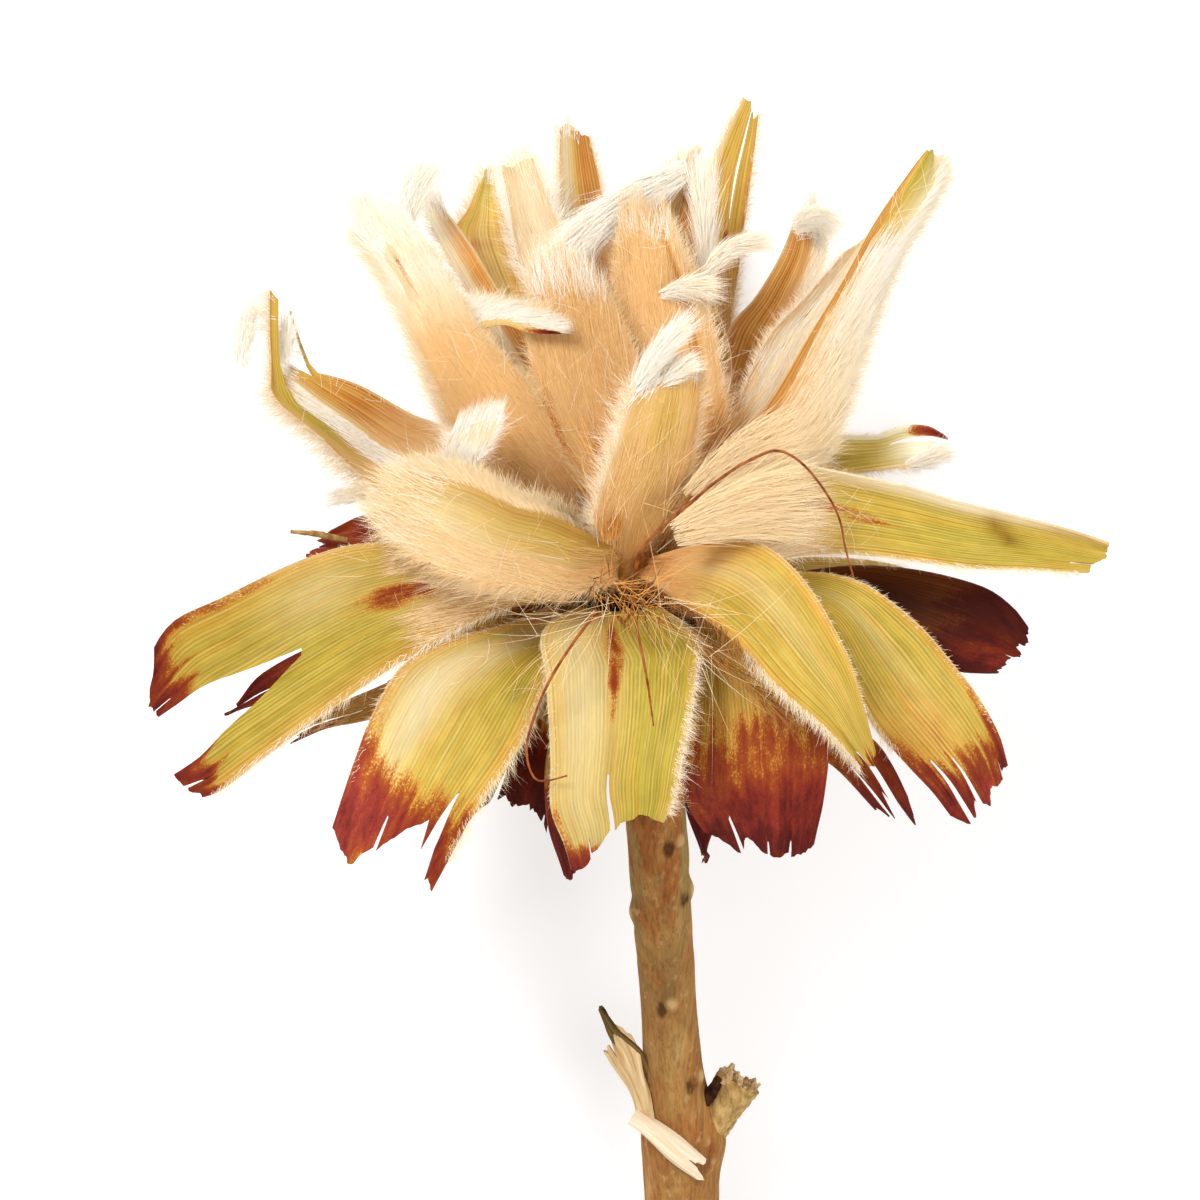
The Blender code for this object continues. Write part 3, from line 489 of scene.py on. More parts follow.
def makeSheet(row, grid, rng):
    freshStart()
    nAlong, nAcross = grid["gaps"].shape
    bpy.ops.mesh.primitive_grid_add(x_subdivisions=nAcross, y_subdivisions=nAlong, size=1)
    sheet = bpy.context.object
    sheet.name = row["name"]
    mesh = sheet.data
    mesh.name = row["name"]
    order = np.empty(len(mesh.vertices) * 3)
    mesh.vertices.foreach_get("co", order)
    order = order.reshape(-1, 3)
    col = np.rint((order[:, 0] + 0.5) * nAcross).astype(int)
    line = np.rint((order[:, 1] + 0.5) * nAlong).astype(int)
    mesh.vertices.foreach_set("co", ((grid["p"][line, col] + middle) * mm).ravel())
    # tone is painted shade and painted highlights, with some of the bract's own dark and bright marks
    skin, tone = paintSkin(row, grid, rng)
    for name, values in (("skin", skin), ("tone", tone)):
        layer = mesh.color_attributes.new(name, "FLOAT_COLOR", "POINT")
        layer.data.foreach_set("color", values[line, col].ravel())
    corner = np.empty(len(mesh.loops), int)
    mesh.loops.foreach_get("vertex_index", corner)
    ribs = np.stack([grid["s"] * grid["wide"] * 0.5 + rng.uniform(0, 80),
                     grid["t"] * grid["length"] + rng.uniform(0, 200)], -1)
    mesh.uv_layers[0].name = "ribs"
    mesh.uv_layers[0].uv.foreach_set("vector", ribs[line, col][corner].ravel())
    bm = bmesh.new()
    bm.from_mesh(mesh)
    torn = [face for face in bm.faces
            if grid["gaps"][min(line[v.index] for v in face.verts), min(col[v.index] for v in face.verts)]]
    bmesh.ops.delete(bm, geom=torn, context="FACES")
    loose = [v for v in bm.verts if not v.link_faces]
    bmesh.ops.delete(bm, geom=loose, context="VERTS")
    bm.to_mesh(mesh)
    bm.free()
    # the modelled side must look the way the smooth inner face looks
    look = grid["n"][nAlong // 2, nAcross // 2]
    faces = sum((f.normal.dot(Vector(look)) > 0) - 0.5 for f in mesh.polygons)
    if faces < 0:
        mesh.flip_normals()
    mesh.materials.append(row.get("front", sheetFront))
    mesh.materials.append(row.get("back", sheetBack))
    solid = sheet.modifiers.new("thickness", "SOLIDIFY")
    solid.thickness = row.get("thick", flower["sheetThickness"]) * mm
    solid.offset = 0
    solid.material_offset = 1
    solid.material_offset_rim = 0
    bpy.ops.object.modifier_apply(modifier=solid.name)
    bpy.ops.object.shade_smooth_by_angle(angle=math.radians(50))
    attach(sheet, "root")
    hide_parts(row["node"])
    return sheet


def strands(root, way, beside, length, width, tone, segments, bend, facing):
    # flat tapering hairs as one set of points and faces, lit like the surface they cover
    count = len(root)
    k = np.linspace(0, 1, segments + 1)
    line = root[:, None] + length[:, None, None] * (
        way[:, None] * k[None, :, None] + bend[:, None] * (k[None, :, None] ** 2) * 0.5)
    half = beside[:, None] * (width[:, None] * (1 - k[None, :-1]) ** 0.6 * 0.5)[..., None]
    pairs = np.stack([line[:, :-1] - half, line[:, :-1] + half], 2).reshape(count, -1, 3)
    points = np.concatenate([pairs, line[:, -1:]], 1)
    each = points.shape[1]
    corners, sizes = [], []
    for j in range(segments - 1):
        corners.append((2 * j, 2 * j + 1, 2 * j + 3, 2 * j + 2))
        sizes.append(4)
    corners.append((2 * segments - 2, 2 * segments - 1, 2 * segments))
    sizes.append(3)
    flat = np.concatenate([np.array(c) for c in corners])
    loops = (np.arange(count)[:, None] * each + flat[None]).ravel()
    alongEach = np.concatenate([np.repeat(k[:-1], 2), [1.0]])
    sideEach = np.concatenate([np.tile([-1, 1], segments), [0.0]])
    uv = np.stack([np.tile(0.02 + alongEach * 0.96, (count, 1)),
                   np.clip(tone[:, None] + sideEach[None] * 0.006, 0.008, 0.992)], -1)
    return (points.reshape(-1, 3), loops, np.tile(sizes, count), uv[:, flat].reshape(-1, 2),
            np.repeat(facing, each, 0))


def woolMesh(name, parts):
    points = np.concatenate([p[0] for p in parts])
    starts = np.cumsum([0] + [len(p[0]) for p in parts])
    loops = np.concatenate([p[1] + start for p, start in zip(parts, starts)])
    sizes = np.concatenate([p[2] for p in parts])
    uv = np.concatenate([p[3] for p in parts])
    points[:, 2] = np.maximum(points[:, 2], flower["tableGap"] - middle[2])     # nothing goes under the table
    mesh = bpy.data.meshes.new(name)
    mesh.vertices.add(len(points))
    mesh.vertices.foreach_set("co", ((points + middle) * mm).astype(np.float32).ravel())
    mesh.loops.add(len(loops))
    mesh.loops.foreach_set("vertex_index", loops.astype(np.int32))
    mesh.polygons.add(len(sizes))
    mesh.polygons.foreach_set("loop_start", np.concatenate([[0], np.cumsum(sizes)[:-1]]).astype(np.int32))
    layer = mesh.uv_layers.new(name="OFBake")
    layer.uv.foreach_set("vector", uv.astype(np.float32).ravel())
    mesh.update(calc_edges=True)
    mesh.polygons.foreach_set("use_smooth", np.ones(len(sizes), bool))
    mesh.normals_split_custom_set_from_vertices(np.concatenate([p[4] for p in parts]))
    mesh.materials.append(wool)
    item = bpy.data.objects.new(name, mesh)
    bpy.context.scene.collection.objects.link(item)
    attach(item, "root")
    return item


def readGrid(field, sPlace, tPlace):
    rows, cols = field.shape[:2]
    x, y = sPlace * (cols - 1), tPlace * (rows - 1)
    i, j = np.minimum(x.astype(int), cols - 2), np.minimum(y.astype(int), rows - 2)
    fx, fy = (x - i)[:, None], (y - j)[:, None]
    return (field[j, i] * (1 - fx) * (1 - fy) + field[j, i + 1] * fx * (1 - fy)
            + field[j + 1, i] * (1 - fx) * fy + field[j + 1, i + 1] * fx * fy)


def growWool(row, grid, rng):
    # each patch: count, across from-to, along from-to, length, tone, lean (along, across, out)
    parts = []
    for patch in row.get("wool", ()):
        count = int(patch["count"])
        sPlace = rng.uniform(*patch["s"], count) * 0.5 + 0.5
        tPlace = rng.uniform(*patch["t"], count)
        way = patch.get("side", 1)
        root = readGrid(grid["p"], sPlace, tPlace)
        out = unit(readGrid(grid["n"], sPlace, tPlace)) * way
        along = unit(readGrid(grid["along"], sPlace, tPlace))
        across = unit(readGrid(grid["across"], sPlace, tPlace))
        leanAlong, leanAcross, leanOut = patch["lean"]
        toward = np.sign(sPlace - 0.5)[:, None] if patch.get("spread") else 1.0
        hair = unit(along * leanAlong + across * leanAcross * toward + out * leanOut
                    + rng.normal(0, patch.get("stray", 0.18), (count, 3)))
        beside = unit(np.cross(hair, out + rng.normal(0, 0.15, (count, 3))))
        length = rng.uniform(*patch["length"], count) * (1 + patch.get("long", 0) * rng.random(count) ** 8)
        width = rng.uniform(0.7, 1.3, count) * patch["width"]
        low, high = patch["t"]
        part = ((tPlace - low) / (high - low))[:, None]
        tones = np.array(patch["tone"]) * (1 - part) + np.array(patch.get("toneEnd", patch["tone"])) * part
        tone = tones[:, 0] + (tones[:, 1] - tones[:, 0]) * rng.random(count)
        tone = tone + patch.get("paler", 0.1) * np.abs(sPlace * 2 - 1) ** 3
        bend = (out * patch.get("settle", -0.15) + rng.normal(0, patch.get("curl", 0.15), (count, 3))
                + np.array(patch.get("pull", (0, 0, 0)), float))
        root = root + out * flower["sheetThickness"] * 0.4
        rounded = across * (sPlace - 0.5)[:, None] * patch.get("round", 0.3)
        facing = unit(out + np.array([0, 0, 0.45]) + rounded
                      + rng.normal(0, patch.get("uneven", 0.05), (count, 3)))
        parts.append(strands(root, hair, beside, length, width, np.clip(tone, 0.01, 0.99),
                             patch["segments"], bend, facing))
    if parts:
        return woolMesh(row["name"] + "_wool", parts)


def nap(count, t=(0, 1), s=(-1, 1), length=(2.5, 4.5), tone=(0.46, 0.6), lean=(1, 0, 0.03), **more):
    # sleek hairs lying along the bract
    return {"segments": 2, "width": 0.055, "stray": 0.04, "curl": 0.06, "paler": 0.04, "settle": -0.06,
            "count": count, "t": t, "s": s, "length": length, "tone": tone, "lean": lean, **more}


def fringe(edge, count, t=(0, 1), length=(0.8, 1.8), tone=(0.7, 0.96), lean=(0.8, 0.8, 0.1), **more):
    # soft hairs standing off one edge
    return {"segments": 3, "width": 0.045, "stray": 0.3, "long": 1.0, "curl": 0.35, "paler": 0,
            "count": count, "t": t, "s": (0.88, 1) if edge > 0 else (-1, -0.88), "length": length,
            "tone": tone, "lean": (lean[0], lean[1] * edge, lean[2]), **more}


def tuft(count, t=(0.9, 1), s=(-0.8, 0.8), length=(3, 6), tone=(0.85, 1), lean=(1, 0, 0.1), **more):
    # longer pale hairs past the end
    return {"segments": 4, "width": 0.055, "stray": 0.14, "curl": 0.3, "count": count, "t": t, "s": s,
            "length": length, "tone": tone, "lean": lean, **more}


def loose(count, t=(0.1, 0.95), length=(4, 8), tone=(0.6, 0.95), **more):
    # single hairs that have come away
    return {"segments": 4, "width": 0.04, "stray": 0.6, "curl": 0.6, "count": count, "t": t,
            "s": (-1, 1), "length": length, "tone": tone, "lean": (0.8, 0, 0.4), **more}


# ring, clock: where it is seated; high: depth at the middle and the end
# a, b: its two edges; splits: across, start, opening; end: past or short of the end
bracts = [
    dict(node="bract_front_centre", slot="olive_bract", ring="low", clock=93, high=(27, 27),
         a=[(-4.5, -3), (-9.5, -6), (-9, -11.5), (-8.5, -20.5), (-8.5, -26.5), (-7, -30.5), (-6, -34)],
         b=[(4, -3), (9, -7), (9, -9), (8.5, -13.5), (7, -20.5), (6, -25), (5, -27.5)],
         splits=[(-0.12, 0.82, 0.7)], end=(-0.5, 0.6, -1.5, -3, -2.6, -1.5, 0), cup=0.1,
         green=0.55, peach=(0.05, 0.16), tipRed=(1.2, 0.1), fray=2, jag=0.4,
         paint=[("r", -0.08, 0.4, 0.13, 0.17, 0.35), ("r", -0.14, 0.56, 0.07, 0.13, 0.33),
                ("r", 0.04, 0.33, 0.07, 0.12, 0.34),
                ("g", 0.6, 0.5, 0.45, 0.6, 0.3),
                ("c", -0.55, 0.5, 0.42, 0.6, 0.42), ("r", -0.8, 1.0, 0.5, 0.06, 0.7),
                ("r", -0.95, 0.88, 0.1, 0.12, 0.35)],
         tanEdge=0.12, shadeLightAndMarks=[(-0.12, 0.85, 0.05, 0.2, 0.25), (-0.1, 0.1, 0.6, 0.08, 0.3)],
         wool=[fringe(1, 1300, (0.25, 0.97), (0.7, 1.8)), fringe(-1, 300, (0.3, 0.8), (0.4, 0.9))]),
    dict(node="bract_front_left", slot="olive_bract", ring="low", clock=130, high=(22.5, 22),
         a=[(-8, -2.5), (-14.5, -5), (-20.5, -6.5), (-26, -9.5), (-29.5, -15), (-32, -21.5), (-34.5, -29)],
         b=[(-4, -5), (-6.5, -8), (-9, -11.5), (-11.5, -18), (-13.5, -21.5), (-17.5, -27), (-20.5, -32)],
         splits=[(0.62, 0.8, 1.6), (-0.2, 0.9, 0.4)], end=(-0.5, 1.5, 3, 1, -1, -3, -5, 4, 6), cup=0.14,
         green=0.45, peach=(0.12, 0.3), tipRed=(0.72, 0.24), redness=0.58, jag=0.7, fray=2,
         # the cream spot on the left half, 0.6 along, is a painted highlight
         paint=[("c", -0.5, 0.6, 0.3, 0.2, 0.62), ("c", -0.2, 0.35, 0.3, 0.2, 0.3),
                ("g", 0.5, 0.45, 0.4, 0.3, 0.2),
                ("r", -1.0, 0.8, 0.3, 0.2, 0.4), ("r", -0.3, 0.9, 0.5, 0.12, 0.2)],
         # the two negative spots by the tip are painted highlights on the red stain
         cells=(40, 40), shadeLightAndMarks=[(-0.45, 0.95, 0.6, 0.14, -1.0), (-0.9, 0.85, 0.3, 0.14, -0.5)],
         wool=[fringe(-1, 500, (0.2, 0.85), (0.5, 1.3)), fringe(1, 1100, (0.2, 0.9), (0.8, 2)),
               loose(30, (0.1, 0.6))]),
    dict(node="bract_front_right", slot="red_bract", ring="low", clock=60, high=(20.5, 18),
         a=[(7, -6.5), (8, -13), (7, -22.5), (8, -26.5), (10.5, -30)],
         b=[(18, -3), (23, -11.5), (24.5, -18.5), (24, -25), (23, -29.5)],
         splits=[(-0.5, 0.84, 0.6), (0.55, 0.95, 0.3)],
         end=(-1.5, 0.5, 3.2, 0.5, 2.6, 3.4, 3.0, 1.6, 1.0, 0.4),
         cup=0.1, green=0.85, peach=(-0.1, 0.02), tipRed=(0.33, 0.6), redness=0.72, jag=0.7, fray=2,
         shadeAndTone=1.12,
         paint=[("t", 0, 0.6, 1, 0.3, 0.4), ("r", 0, 1.02, 2, 0.1, 0.3), ("r", -0.75, 0.36, 0.08, 0.1, 0.3),
                ("r", -0.5, 0.4, 0.06, 0.1, 0.26)],
         cells=(44, 40),
         shadeLightAndMarks=[(-0.8, 0.5, 0.5, 0.25, 0.45), (0.9, 0.45, 0.5, 0.25, 0.4), (0, 0.15, 2, 0.2, 0.6),
                  (0.2, 0.95, 0.7, 0.08, -0.35)], wool=[fringe(-1, 300, (0.4, 0.8), (0.5, 1.1))]),
    dict(node="bract_arching", slot="olive_bract", ring="high", clock=58, high=(32, 30.5),
         a=[(3, 3), (9.5, 5), (16, 5), (21.5, 0.5), (26.5, -8), (28.5, -14.5), (30, -20)],
         b=[(2, 1), (7.5, -2.5), (13, -6.5), (18.5, -12.5), (24, -17), (27, -20), (29, -22)],
         end=(-1, 0, 0.6, 0, -0.6), cup=-0.12, green=0.5, peach=(0.2, 0.5), jag=0.3, fray=1,
         tipRed=(0.96, 0.05), redness=0.7, splits=[(0.5, 0.93, 0.3)],
         paint=[("c", -0.2, 0.5, 0.3, 0.25, 0.2), ("r", -0.9, 0.3, 0.12, 0.06, 0.3),
                ("t", -0.6, 0.35, 0.5, 0.12, 0.4)],
         wool=[fringe(1, 1100, (0.55, 1), (0.6, 1.8)),
               # the dark brown fringe along the middle of the lower edge is painted shade under that edge
               fringe(1, 450, (0.15, 0.6), (1, 3), (0.15, 0.4)), fringe(-1, 300, (0.3, 0.9), (0.3, 0.7)),
               nap(1300, (0.06, 0.3), tone=(0.44, 0.54))]),
    dict(node="bract_right_low", slot="olive_bract", ring="middle", clock=45, high=(20, 16),
         a=[(20, 1.5), (28, 0.5), (35, -4.5), (39, -9), (42.5, -13.5), (45, -18), (46, -21.5)],
         b=[(18, -3), (24, -5), (27, -11.5), (30, -17), (34, -21.5), (37, -24.5), (39, -27)],
         splits=[(0.2, 0.86, 0.7), (0.58, 0.8, 1.0)],
         end=(0.3, 0.6, 0.8, 0, 2.2, 0.8, 3, 2.4, 0.4), cup=-0.1, green=0.72, peach=(0.12, 0.26),
         tipRed=(0.8, 0.22), redness=0.7, jag=0.7, fray=2,
         paint=[("c", -0.1, 0.5, 0.2, 0.25, 0.15), ("r", 0.9, 0.85, 0.3, 0.14, 0.5),
                ("t", 0.3, 0.8, 0.8, 0.12, 0.5),
                ("r", -0.95, 0.9, 0.15, 0.2, 0.35)],
         cells=(40, 40), shadeLightAndMarks=[(-0.3, 1.06, 0.2, 0.05, -2.2)],
         wool=[fringe(1, 900, (0.3, 0.75), (0.5, 1.4)), fringe(-1, 400, (0.3, 0.9), (0.3, 0.8))]),
    dict(node="bract_right_dark", slot="red_bract", ring="low", clock=12, high=(9, 10),
         a=[(24, 2), (33.5, 2), (42.5, 0), (46.5, -2.5), (48.5, -5)],
         b=[(26, -3), (33.5, -7), (39, -10), (42.5, -10.5), (45, -10.5)],
         end=(-0.3, 0.4, 0.9, 0.5, 1.0, 0.6, 0.2, -0.5), cup=0.14, green=0.3, peach=(0, 0.1), shadeAndTone=0.25,
         tipRed=(0.6, 0.3), redness=0.7, jag=0.6, fray=2, paleEdge=0.1,
         cells=(40, 32), paint=[("r", 0.95, 0.75, 0.35, 0.35, 0.5), ("t", 0, 0.5, 2, 1, 0.5)],
         # its low overall factor and these spots darken its own near-black brown body and brighten its red
         # rim: its own colours, not light
         shadeLightAndMarks=[(-0.1, 0.6, 1.3, 0.42, 0.9), (0.65, 0.95, 0.6, 0.13, -4.4)],
         wool=[fringe(1, 150, (0.4, 0.8), (0.5, 1.5))]),
    dict(node="bract_right_long", slot="olive_bract", ring="high", clock=28, high=(17, 12),
         a=[(4.5, 5), (10, 10.5), (17, 15), (25, 13.5, -1), (33.5, 11.5, -1.5), (39, 9.8, -1.5),
            (46, 8, -1.5), (51.5, 6.6, -1), (57.5, 4.9)],
         b=[(6, 1), (13.5, 2), (21.5, 3.5), (28.5, 3.5), (36, 2.6), (42, 1.9), (48, 1.8), (53, 1.5),
            (57.5, 1.4)],
         splits=[(0.5, 0.93, 0.3)], end=(-0.3, 0, -0.1, -2, -2.3), cup=0.16, green=0.55, peach=(0.36, 0.5),
         jag=0.2, fray=0, curlA=1.2,
         paint=[("r", -0.1, 0.46, 0.14, 0.1, 0.42), ("r", 0.1, 0.56, 0.08, 0.1, 0.38),
                ("r", -0.25, 0.4, 0.05, 0.06, 0.4), ("c", -0.95, 0.6, 0.16, 0.25, 0.8),
                ("c", -0.95, 0.8, 0.12, 0.12, 0.5),
                ("c", 0, 0.2, 1.2, 0.16, 1.0), ("g", 0.2, 0.75, 0.6, 0.2, 0.25)],
         tanEdge=0.2, shadeLightAndMarks=[(-0.55, 0.785, 0.36, 0.022, 0.55), (-0.1, 0.805, 0.36, 0.022, 0.55)], deep=0.0,
         wool=[nap(4200, (0.04, 0.35), length=(3, 6.5), tone=(0.6, 0.66), toneEnd=(0.78, 0.86), width=0.065),
               fringe(1, 1200, (0.3, 0.97), (0.6, 1.8)), fringe(-1, 700, (0.3, 0.9), (0.4, 1.2)),
               loose(60, (0.1, 0.5))]),
    dict(node="bract_right_small", slot="olive_bract", ring="high", clock=352, high=(4, 3),
         a=[(18, 17.5), (25, 18), (30.5, 18), (33.5, 19), (36.5, 19), (38.5, 18)],
         b=[(18.5, 12.5), (26, 13), (29, 13.5), (32.5, 14), (36, 14.5), (39, 16)],
         splits=[(-0.3, 0.8, 1.0)], end=(-0.5, 0.3, -2, 0.6, 0), cup=0.12, green=0.5, peach=(0.2, 0.35),
         jag=0.6, fray=2,
         paint=[("c", 0, 0.25, 1, 0.2, 0.8), ("c", -0.95, 0.7, 0.2, 0.3, 0.8), ("c", 0.2, 0.9, 0.9, 0.1, 1.0),
                ("r", -0.8, 0.97, 0.4, 0.1, 0.9), ("r", 0.95, 0.45, 0.15, 0.2, 0.34)],
         shadeLightAndMarks=[(0.1, 0.52, 0.3, 0.07, 0.4)], shadeAndTone=1.5,
         wool=[fringe(1, 700, (0.4, 1), (0.7, 2)), fringe(-1, 250, (0.4, 0.8), (0.4, 1)),
               tuft(80, (0.9, 1), (0.2, 1), (1.5, 3.5))]),
    dict(node="bract_right_strips", slot="red_bract", ring="foot", clock=40, high=(12, 11),
         a=[(20, -14), (30, -18.5), (35, -27.5)], b=[(18, -18), (25, -21.5), (31.5, -28)],
         splits=[(-0.2, 0.6, 1.2), (0.5, 0.75, 0.8)], end=(-2, 0.8, -3.5, 0.5, -2), cup=0.08, green=0.6,
         peach=(0, 0.1), tipRed=(0.35, 0.65), redness=0.75, jag=0.7, fray=2, shadeAndTone=0.85),
    dict(node="bract_left_forked", slot="olive_bract", ring="middle", clock=128, high=(23, 16),
         a=[(-7.5, 2), (-17, 4.5), (-30, 5), (-38, 3), (-47.5, -1.5), (-53.5, -4.5), (-56.5, -9.5)],
         b=[(-5.5, -2.5), (-14.5, -3), (-26, -9), (-36, -15.8), (-42.5, -20.6), (-47.6, -24.4), (-51, -25.5)],
         splits=[(0.1, 0.64, 8.0), (0.6, 0.95, 0.4)], end=(-3, 0.5, 1.5, 0.5, 0.5, 0, -0.5), cup=0.1,
         green=0.66, peach=(0.3, 0.5), tipRed=(0.86, 0.14), redness=0.75, jag=0.7, fray=3,
         paint=[("r", -0.06, 0.38, 0.24, 0.18, 0.58), ("c", -0.1, 0.26, 0.5, 0.12, 0.5),
                ("r", -0.95, 0.8, 0.14, 0.2, 0.36),
                ("g", 0.2, 0.75, 0.5, 0.3, 0.2), ("c", -0.5, 0.6, 0.4, 0.1, 0.3)],
         shadeAndTone=0.9, slim=[(0.105, 1, 0.85, 0.6)],
         shadeLightAndMarks=[(0.9, 0.45, 0.4, 0.3, 0.12), (-0.6, 0.8, 0.5, 0.25, 0.08)],
         wool=[nap(1500, (0.06, 0.3), tone=(0.54, 0.6), toneEnd=(0.62, 0.74)),
               nap(500, (0.28, 0.4), (-1, -0.45), tone=(0.62, 0.74)),
               nap(400, (0.28, 0.4), (0.3, 1), tone=(0.62, 0.74)),
               fringe(1, 1600, (0.2, 0.97), (0.6, 1.8)), fringe(-1, 250, (0.3, 0.9), (0.3, 0.7)),
               loose(40, (0.1, 0.5))]),
    dict(node="bract_left_maroon", slot="red_bract", ring="middle", clock=187, high=(-1, -3),
         a=[(-17, 6.5), (-26, 9), (-31, 8.4), (-34.8, 6.6)], b=[(-17, 1), (-28, 1.5), (-33, 2), (-37.5, 3)],
         end=(0, 1, -0.5, 0.5, 0), splits=[(0.2, 0.9, 0.4)], cup=0.12, green=0.5, peach=(0.2, 0.4),
         tipRed=(0.3, 0.45), redness=0.66, jag=0.3, fray=2, shadeAndTone=1.25, paleEdge=0.2,
         hooks=[]),
    dict(node="bract_left_fragment", slot="red_bract", ring="low", clock=164, high=(3, 3),
         a=[(-24, -3.5), (-35, -6.5), (-43, -10.5), (-46, -14)],
         b=[(-23, -8.5), (-34, -11), (-41, -13.5), (-46, -15)], end=(-1, 1, -0.5, 1, 0),
         splits=[(0.2, 0.85, 0.5)], cup=0.1, green=0.3, peach=(0, 0.1), tipRed=(0.5, 0.4), redness=0.8,
         jag=0.8, fray=2, shadeAndTone=0.8),
    dict(node="bract_left_under", slot="red_bract", ring="foot", clock=151, high=(11, 11),
         a=[(-20.5, -8.5), (-30, -12.5), (-37, -15.5), (-40, -17)],
         b=[(-19.5, -13), (-30, -16), (-35, -17), (-38.5, -18.5)], end=(0.5, -1, 0.5, -1, 0.5),
         splits=[(0.2, 0.75, 0.7)], cup=0.1, green=0.6, peach=(0.6, 0.9), tipRed=(0.75, 0.2), redness=0.7,
         jag=0.7, fray=2, shadeAndTone=0.7, wool=[nap(500, (0.4, 0.9), length=(1.5, 3), tone=(0.35, 0.7))]),
    dict(node="bract_low_maroon", slot="red_bract", ring="foot", clock=122, high=(10.5, 10),
         a=[(-11.5, -14), (-14.5, -21), (-17, -26.5)], b=[(-7, -14), (-7.5, -22), (-9, -29)],
         end=(0.5, -1.5, 0.5, -0.5, 0), splits=[(-0.7, 0.8, 0.7)], cup=0.1, green=0.3, peach=(0, 0.1),
         tipRed=(0.35, 0.3), redness=0.85, jag=0.7, fray=2, shadeAndTone=0.5),
    dict(node="bract_low_narrow", slot="red_bract", ring="foot", clock=95, high=(16, 16.5),
         a=[(-8.5, -18.5), (-9, -27.5), (-7, -34.5)], b=[(-4.5, -18.5), (-5, -28), (-5.5, -34)],
         end=(0, 0.5, 0), cup=0.1, green=0.3, peach=(0, 0.1), tipRed=(0.5, 0.3), redness=0.95, jag=0.8,
         fray=2, shadeAndTone=0.7, cells=(10, 30)),
    dict(node="bract_low_sliver", slot="red_bract", ring="foot", clock=68, high=(11, 10),
         a=[(8.5, -20), (7.5, -26), (9.5, -32)], b=[(12, -20), (11.5, -27), (10, -31.5)], end=(0, 0.5, 0),
         cup=0.1, green=0.3, peach=(0, 0.1), tipRed=(0.4, 0.4), redness=0.9, jag=0.8, fray=2, shadeAndTone=0.7,
         cells=(10, 30)),
    dict(node="bract_upright_front", slot="woolly_bract", ring="high", clock=86, high=(26, 30),
         a=[(-1, 2), (-3.5, 6.5), (-3, 10), (-1.5, 15.5), (0.5, 21.5), (2, 24)],
         b=[(2, 3), (6, 8.5), (8, 13), (9, 18.5), (9.5, 22.5), (9, 26)],
         end=(0, 0.5, 0.8, 0.5, 0), cup=-0.3, green=0.35, peach=(1.1, 1.2), jag=0.5, fray=2, curlA=1.0,
         paint=[("c", -0.95, 0.6, 0.12, 0.4, 0.8), ("p", 0.15, 0.8, 0.5, 0.2, -0.55)],
         woolly=0.75,
         deep=0.1, dark=0.5,
         wool=[nap(2600, (0.03, 0.62), length=(2.5, 5.5), tone=(0.54, 0.57), toneEnd=(0.58, 0.62)),
               nap(350, (0.62, 0.95), length=(2, 4), tone=(0.5, 0.6)),
               tuft(350, (0.88, 1), (-1, -0.3), (3, 6), lean=(1, 0.35, 0.15)),
               tuft(450, (0.92, 1), (-0.3, 0.95), (0.8, 2.2)), fringe(-1, 1500, (0.2, 1), (1, 2.8)),
               fringe(1, 1500, (0.15, 1), (0.8, 2.6), (0.5, 0.9)), loose(30)]),
    dict(node="bract_left_rolled", slot="woolly_bract", ring="high", clock=113, high=(27, 27),
         a=[(0, 4), (-7, 9), (-12, 10.5), (-17, 13), (-22, 14), (-25, 14)],
         b=[(-0.5, 1), (-5.5, -1), (-13.5, -0.2), (-20.5, 1.6), (-25.5, 4.4), (-28.6, 7.8)],
         end=(0, 0.5, 0, -0.5, 0), cup=0.02, green=0.45, peach=(1.1, 1.2), jag=0.4, fray=0, curlA=-1.4,
         paint=[("c", -0.9, 0.6, 0.12, 0.6, 0.8), ("p", -0.3, 0.5, 0.45, 0.5, -0.35),
                ("c", 0.7, 0.6, 0.45, 0.6, 0.45),
                ("c", 0.3, 0.95, 0.9, 0.25, 0.6), ("p", 0.3, 0.2, 0.5, 0.2, 0.3)],
         woolly=0.5,
         # painted shadow under the rolled upper rim
         deep=0.05, dark=0.5, shadeLightAndMarks=[(-0.58, 0.5, 0.18, 0.4, 0.32)], shadeAndTone=0.94,
         wool=[nap(120, (0.05, 0.35), (-0.65, 0.2), (2.5, 5.5), (0.52, 0.56), toneEnd=(0.6, 0.68)),
               nap(2300, (0.05, 1), (0.3, 1), (2.5, 5.5), (0.54, 0.58), toneEnd=(0.7, 0.78)),
               nap(2600, (0.1, 1), (-1, -0.72), (1.5, 3), (0.68, 0.8), (0.8, -0.2, 0.6)),
               fringe(-1, 3200, (0.1, 1), (1, 2.6), (0.68, 0.84), lean=(0.6, 0.6, 0.8)),
               fringe(1, 1600, (0.1, 1), (1, 3), (0.5, 0.85)),
               tuft(900, (0.8, 1), (-1, 1), (3, 6), (0.62, 0.9)), loose(80)]),
    dict(node="bract_white_brush", slot="woolly_bract", ring="high", clock=141, high=(19.5, 24),
         a=[(-21.4, 12.5), (-21, 16), (-20, 19.5)], b=[(-17, 12.5), (-16, 16), (-14.4, 20)],
         end=(-1, 0, 0.3, 0), cup=0.05, green=0.2, peach=(1.1, 1.2), jag=0.5, fray=2, cells=(12, 26),
         paint=[("c", 0, 0.8, 2, 0.5, 1.0)],
         wool=[nap(2600, (0.1, 1), length=(2.5, 4.5), tone=(0.9, 1), lean=(1, 0.02, 0.1), curl=0.04,
                   settle=0),
               fringe(1, 400, (0.5, 1), (1, 2.5), (0.85, 1)), fringe(-1, 300, (0.5, 1), (1, 2), (0.85, 1)),
